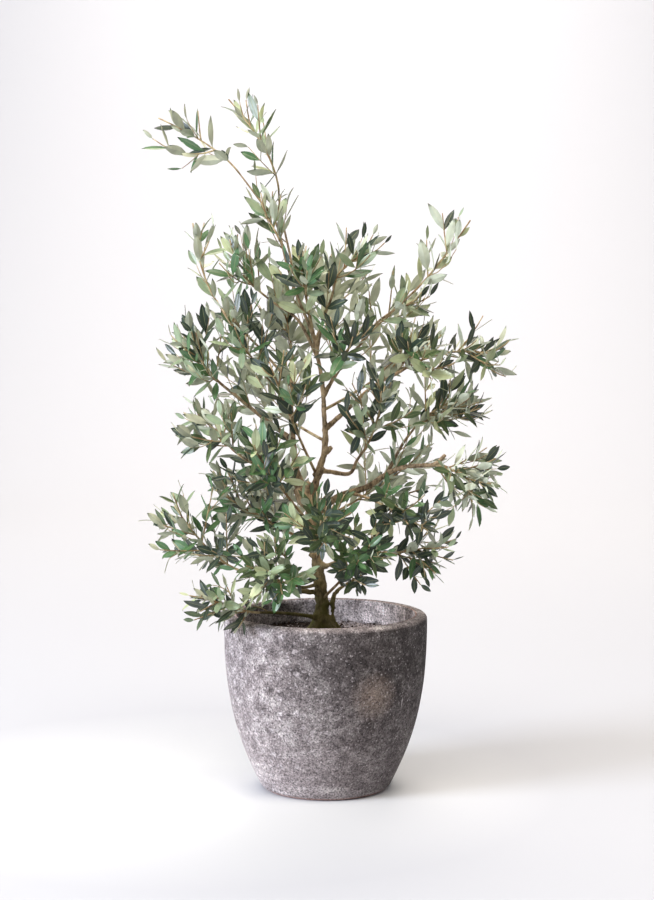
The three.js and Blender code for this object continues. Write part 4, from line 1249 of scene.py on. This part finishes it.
def tube_piece(name, tubes, sides, material):
    """One piece of many tapering tubes, each given by its points in millimetres and its end radii."""
    points = []
    faces = []
    angles = np.linspace(0, 2 * math.pi, sides, endpoint=False)
    for line, foot, tip in tubes:
        start = len(points)
        tangents = np.gradient(line, axis=0)
        level = unit(np.cross(tangents[0], [0.3, 0.2, 0.93]))
        for point, tangent, share in zip(line, tangents, np.linspace(0, 1, len(line))):
            tangent = unit(tangent)
            level = unit(level - tangent * np.dot(level, tangent))
            other = np.cross(tangent, level)
            ring = point + between(foot, tip, share) * (
                np.cos(angles)[:, None] * level + np.sin(angles)[:, None] * other
            )
            points += (ring * MM).tolist()
        for i in range(len(line) - 1):
            for j in range(sides):
                k = (j + 1) % sides
                low, high = start + i * sides, start + (i + 1) * sides
                faces.append((low + j, low + k, high + k, high + j))
        faces.append(tuple(start + j for j in range(sides - 1, -1, -1)))
        faces.append(tuple(start + (len(line) - 1) * sides + j for j in range(sides)))
    return joined_mesh(name, points, faces, np.zeros(len(faces)), [material])


def grow_foliage(leaf, limbs):
    """The tubes of the stems and shoots, the tubes of the finer twigs, and the leaves of each kind."""
    stems = {name: stem_of(mass, limbs) for name, mass in MASSES.items()}
    limb_beads = [beads_along(curve, radius, 4) for curve, radius in limbs.values()]
    stem_beads = {
        name: beads_along(stem, lambda share, foot=foot: between(foot, 1.2, share), 5)
        for name, (stem, foot) in stems.items()
    }
    woody = []
    green = []
    kinds = {kind: [] for kind in ("deep", "olive", "grey", "fresh", "young")}
    for name, mass in MASSES.items():
        others = [beads for other, beads in stem_beads.items() if other != name]
        space = Space(name, np.concatenate(limb_beads + others))
        random = np.random.default_rng(mass.seed)
        stem, foot = stems[name]
        woody.append((stem.points, foot, STEM_TIP))
        shoots = shoots_of(mass, stem, space)
        woody += [(path.points, *SHOOT_RADII) for path in shoots]
        steepness = 0.15 if name in ARCHING else uprightness(mass)
        rise = between(-0.3, 0.95, steepness ** 0.6)
        near = [curve for curve, _ in limbs.values() if space.passes(curve)]
        twigs = []
        for kind, bearers in (("shoot", shoots), ("stem", [stem]), ("limb", near)):
            gap, *rest = TWIGS[kind]
            twigs += side_twigs(bearers, space, random, rise, gap / mass.fullness, *rest)
        kept = np.empty((0, 3))
        mix = np.cumsum(mass.mix)
        rise = between(0.0, 0.42, steepness)
        for bearer, paths in (("stem", [stem]), ("shoot", shoots), ("twig", twigs)):
            for path in paths:
                kind = list(kinds)[int(np.searchsorted(mix, random.random() * mix[-1]))]
                leafy = 0.0
                for grown in leaves_on(path, space, random, leaf, rise, FIRST_LEAF[bearer]):
                    middle = grown.root + grown.along * grown.length * 0.55
                    if len(kept) and np.min(np.linalg.norm(kept - middle, axis=1)) < leaf.apart / MM:
                        continue
                    kept = np.vstack([kept, middle])
                    kinds[kind].append(grown)
                    leafy = max(leafy, grown.share)
                if leafy and bearer == "twig":
                    green.append((path.along(np.linspace(0, leafy, 5)), *TWIG_RADII))
    return woody, green, kinds


class OLIVE_OT_foliage(bpy.types.Operator):
    """Grow stems, shoots, finer twigs and leaves on from the limbs, within each mass's space"""

    bl_idname = "olive.foliage"
    bl_label = "Foliage"

    def execute(self, context):
        leaf = context.scene.olive_leaves
        woody, green, kinds = grow_foliage(leaf, grow_limbs(context.scene.olive_limbs))
        # A waxy upper side, a duller midrib, and a matte underside of silvery scales
        stalk = leaf_skin("leaf stalk", leaf.rib, 0.6, 0.3)
        silver = leaf_skin("scaly leaf underside", leaf.silver, 0.75, 0.25)
        for kind, leaves in kinds.items():
            colour = np.array(getattr(leaf, kind))
            paler = between(colour, np.array(leaf.rib), 0.5)
            upper = leaf_skin(kind + " olive leaf", colour, 0.36, 0.75)
            midrib = leaf_skin(kind + " leaf midrib", paler, 0.5, 0.3)
            for part, start in enumerate(range(0, len(leaves), MOST_LEAVES)):
                name = f"{kind}_leaves_{part + 1}"
                some = leaves[start:start + MOST_LEAVES]
                leaf_piece(name, some, leaf, [upper, midrib, silver, stalk])
        material = green_twig(leaf)
        for name, tubes, sides in (("woody_stems", woody, 7), ("green_twigs", green, 5)):
            piece = tube_piece(name, tubes, sides, material)
            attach(piece, BODY)
        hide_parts(*MASSES)
        return {"FINISHED"}


PAPER = 12  # width of the sheet, in metres
PAPER_BEND = 2.5


class OLIVE_OT_studio(bpy.types.Operator):
    """Set up the paper sweep, the soft light from the left and the camera"""

    bl_idname = "olive.studio"
    bl_label = "Studio"

    def execute(self, context):
        studio = context.scene.olive_studio
        scene = context.scene
        bpy.ops.object.select_all(action="DESELECT")
        bpy.ops.mesh.primitive_plane_add(size=PAPER, location=(0, 0, 0))
        floor = add_piece("paper_sweep")
        # The paper's back edge is drawn up into a wall, and the corner between them is rounded
        bpy.ops.object.mode_set(mode="EDIT")
        bpy.ops.mesh.select_mode(type="EDGE")
        for operator, settings in (
            (bpy.ops.mesh.extrude_edges_move, {"TRANSFORM_OT_translate": {"value": (0, 0, PAPER / 2)}}),
            (bpy.ops.mesh.bevel, {"offset": PAPER_BEND, "segments": 24}),
        ):
            bpy.ops.mesh.select_all(action="DESELECT")
            bpy.ops.object.mode_set(mode="OBJECT")
            for edge in floor.data.edges:
                ends = [floor.data.vertices[i].co for i in edge.vertices]
                edge.select = all(end.y > PAPER / 2 - MM and end.z < MM for end in ends)
            bpy.ops.object.mode_set(mode="EDIT")
            operator(**settings)
        bpy.ops.object.mode_set(mode="OBJECT")
        floor.data.shade_smooth()
        floor.data.materials.append(paper_sweep(studio))

        world = bpy.data.worlds.new("studio")
        world.use_nodes = True
        background = world.node_tree.nodes["Background"].inputs
        background["Color"].default_value = linear("#fbfbff")
        background["Strength"].default_value = studio.fill
        scene.world = world

        def add_light(name, place, aim, size, power, colour):
            data = bpy.data.lights.new(name, "AREA")
            data.shape = "RECTANGLE"
            data.size = size[0]
            data.size_y = size[1]
            data.energy = power
            data.color = linear(colour)[:3]
            light = bpy.data.objects.new(name, data)
            light.location = place
            light.rotation_euler = (Vector(aim) - Vector(place)).to_track_quat("-Z", "Y").to_euler()
            scene.collection.objects.link(light)

        add_light("window", (-4.4, -2.3, 2.0), (0, 0, 0.3), (1.9, 1.9), studio.window, "#e8f0ff")
        # The ceiling's lights: place and aim along Y, size, and share of the power
        for name, at, aim, size, share in (
            ("ceiling_middle", 0.4, 0.4, (2.0, 2.4), 0.045),
            ("ceiling_front", -1.6, -1.2, (3.0, 1.6), 0.37),
            ("ceiling_back", 2.8, 2.8, (3.0, 2.4), 0.33),
            ("ceiling_far", 5.0, 4.8, (3.0, 1.6), 0.255),
        ):
            add_light(name, (0.13, at, 3.4), (0.13, aim, 0), size, share * studio.ceiling, "#fff4e6")

        tilt = math.radians(CAMERA_TILT)
        data = bpy.data.cameras.new("camera")
        data.lens = CAMERA_LENS
        data.sensor_width = 36
        camera = bpy.data.objects.new("camera", data)
        target = Vector(CAMERA_TARGET) * MM
        back = Vector((0, -math.cos(tilt), math.sin(tilt))) * CAMERA_DISTANCE * MM
        camera.location = target + back
        camera.rotation_euler = (math.pi / 2 - tilt, 0, 0)
        scene.collection.objects.link(camera)
        scene.camera = camera
        scene.view_settings.view_transform = "Standard"
        return {"FINISHED"}


# Each operator with the name and the class of its settings
PARTS = (
    (OLIVE_OT_pot, "olive_pot", PotSettings),
    (OLIVE_OT_soil, "olive_soil", SoilSettings),
    (OLIVE_OT_limbs, "olive_limbs", LimbSettings),
    (OLIVE_OT_foliage, "olive_leaves", LeafSettings),
    (OLIVE_OT_studio, "olive_studio", StudioSettings),
)


class OLIVE_PT_panel(bpy.types.Panel):
    """The sidebar panel with one button for each group of pieces"""

    bl_idname = "OLIVE_PT_panel"
    bl_label = "Potted Olive Tree"
    bl_space_type = "VIEW_3D"
    bl_region_type = "UI"
    bl_category = "Olive Tree"

    def draw(self, context):
        for operator, name, settings in PARTS:
            box = self.layout.box()
            box.operator(operator.bl_idname)
            for setting in settings.__annotations__:
                box.prop(getattr(context.scene, name), setting)


def register():
    for operator, name, settings in PARTS:
        bpy.utils.register_class(settings)
        bpy.utils.register_class(operator)
        setattr(bpy.types.Scene, name, PointerProperty(type=settings))
    bpy.utils.register_class(OLIVE_PT_panel)


def unregister():
    bpy.utils.unregister_class(OLIVE_PT_panel)
    for operator, name, settings in reversed(PARTS):
        delattr(bpy.types.Scene, name)
        bpy.utils.unregister_class(operator)
        bpy.utils.unregister_class(settings)


def main():
    register()
    bpy.ops.olive.studio()
    bpy.ops.olive.pot()
    bpy.ops.olive.soil()
    bpy.ops.olive.limbs()
    bpy.ops.olive.foliage()


if __name__ == "__main__":
    main()
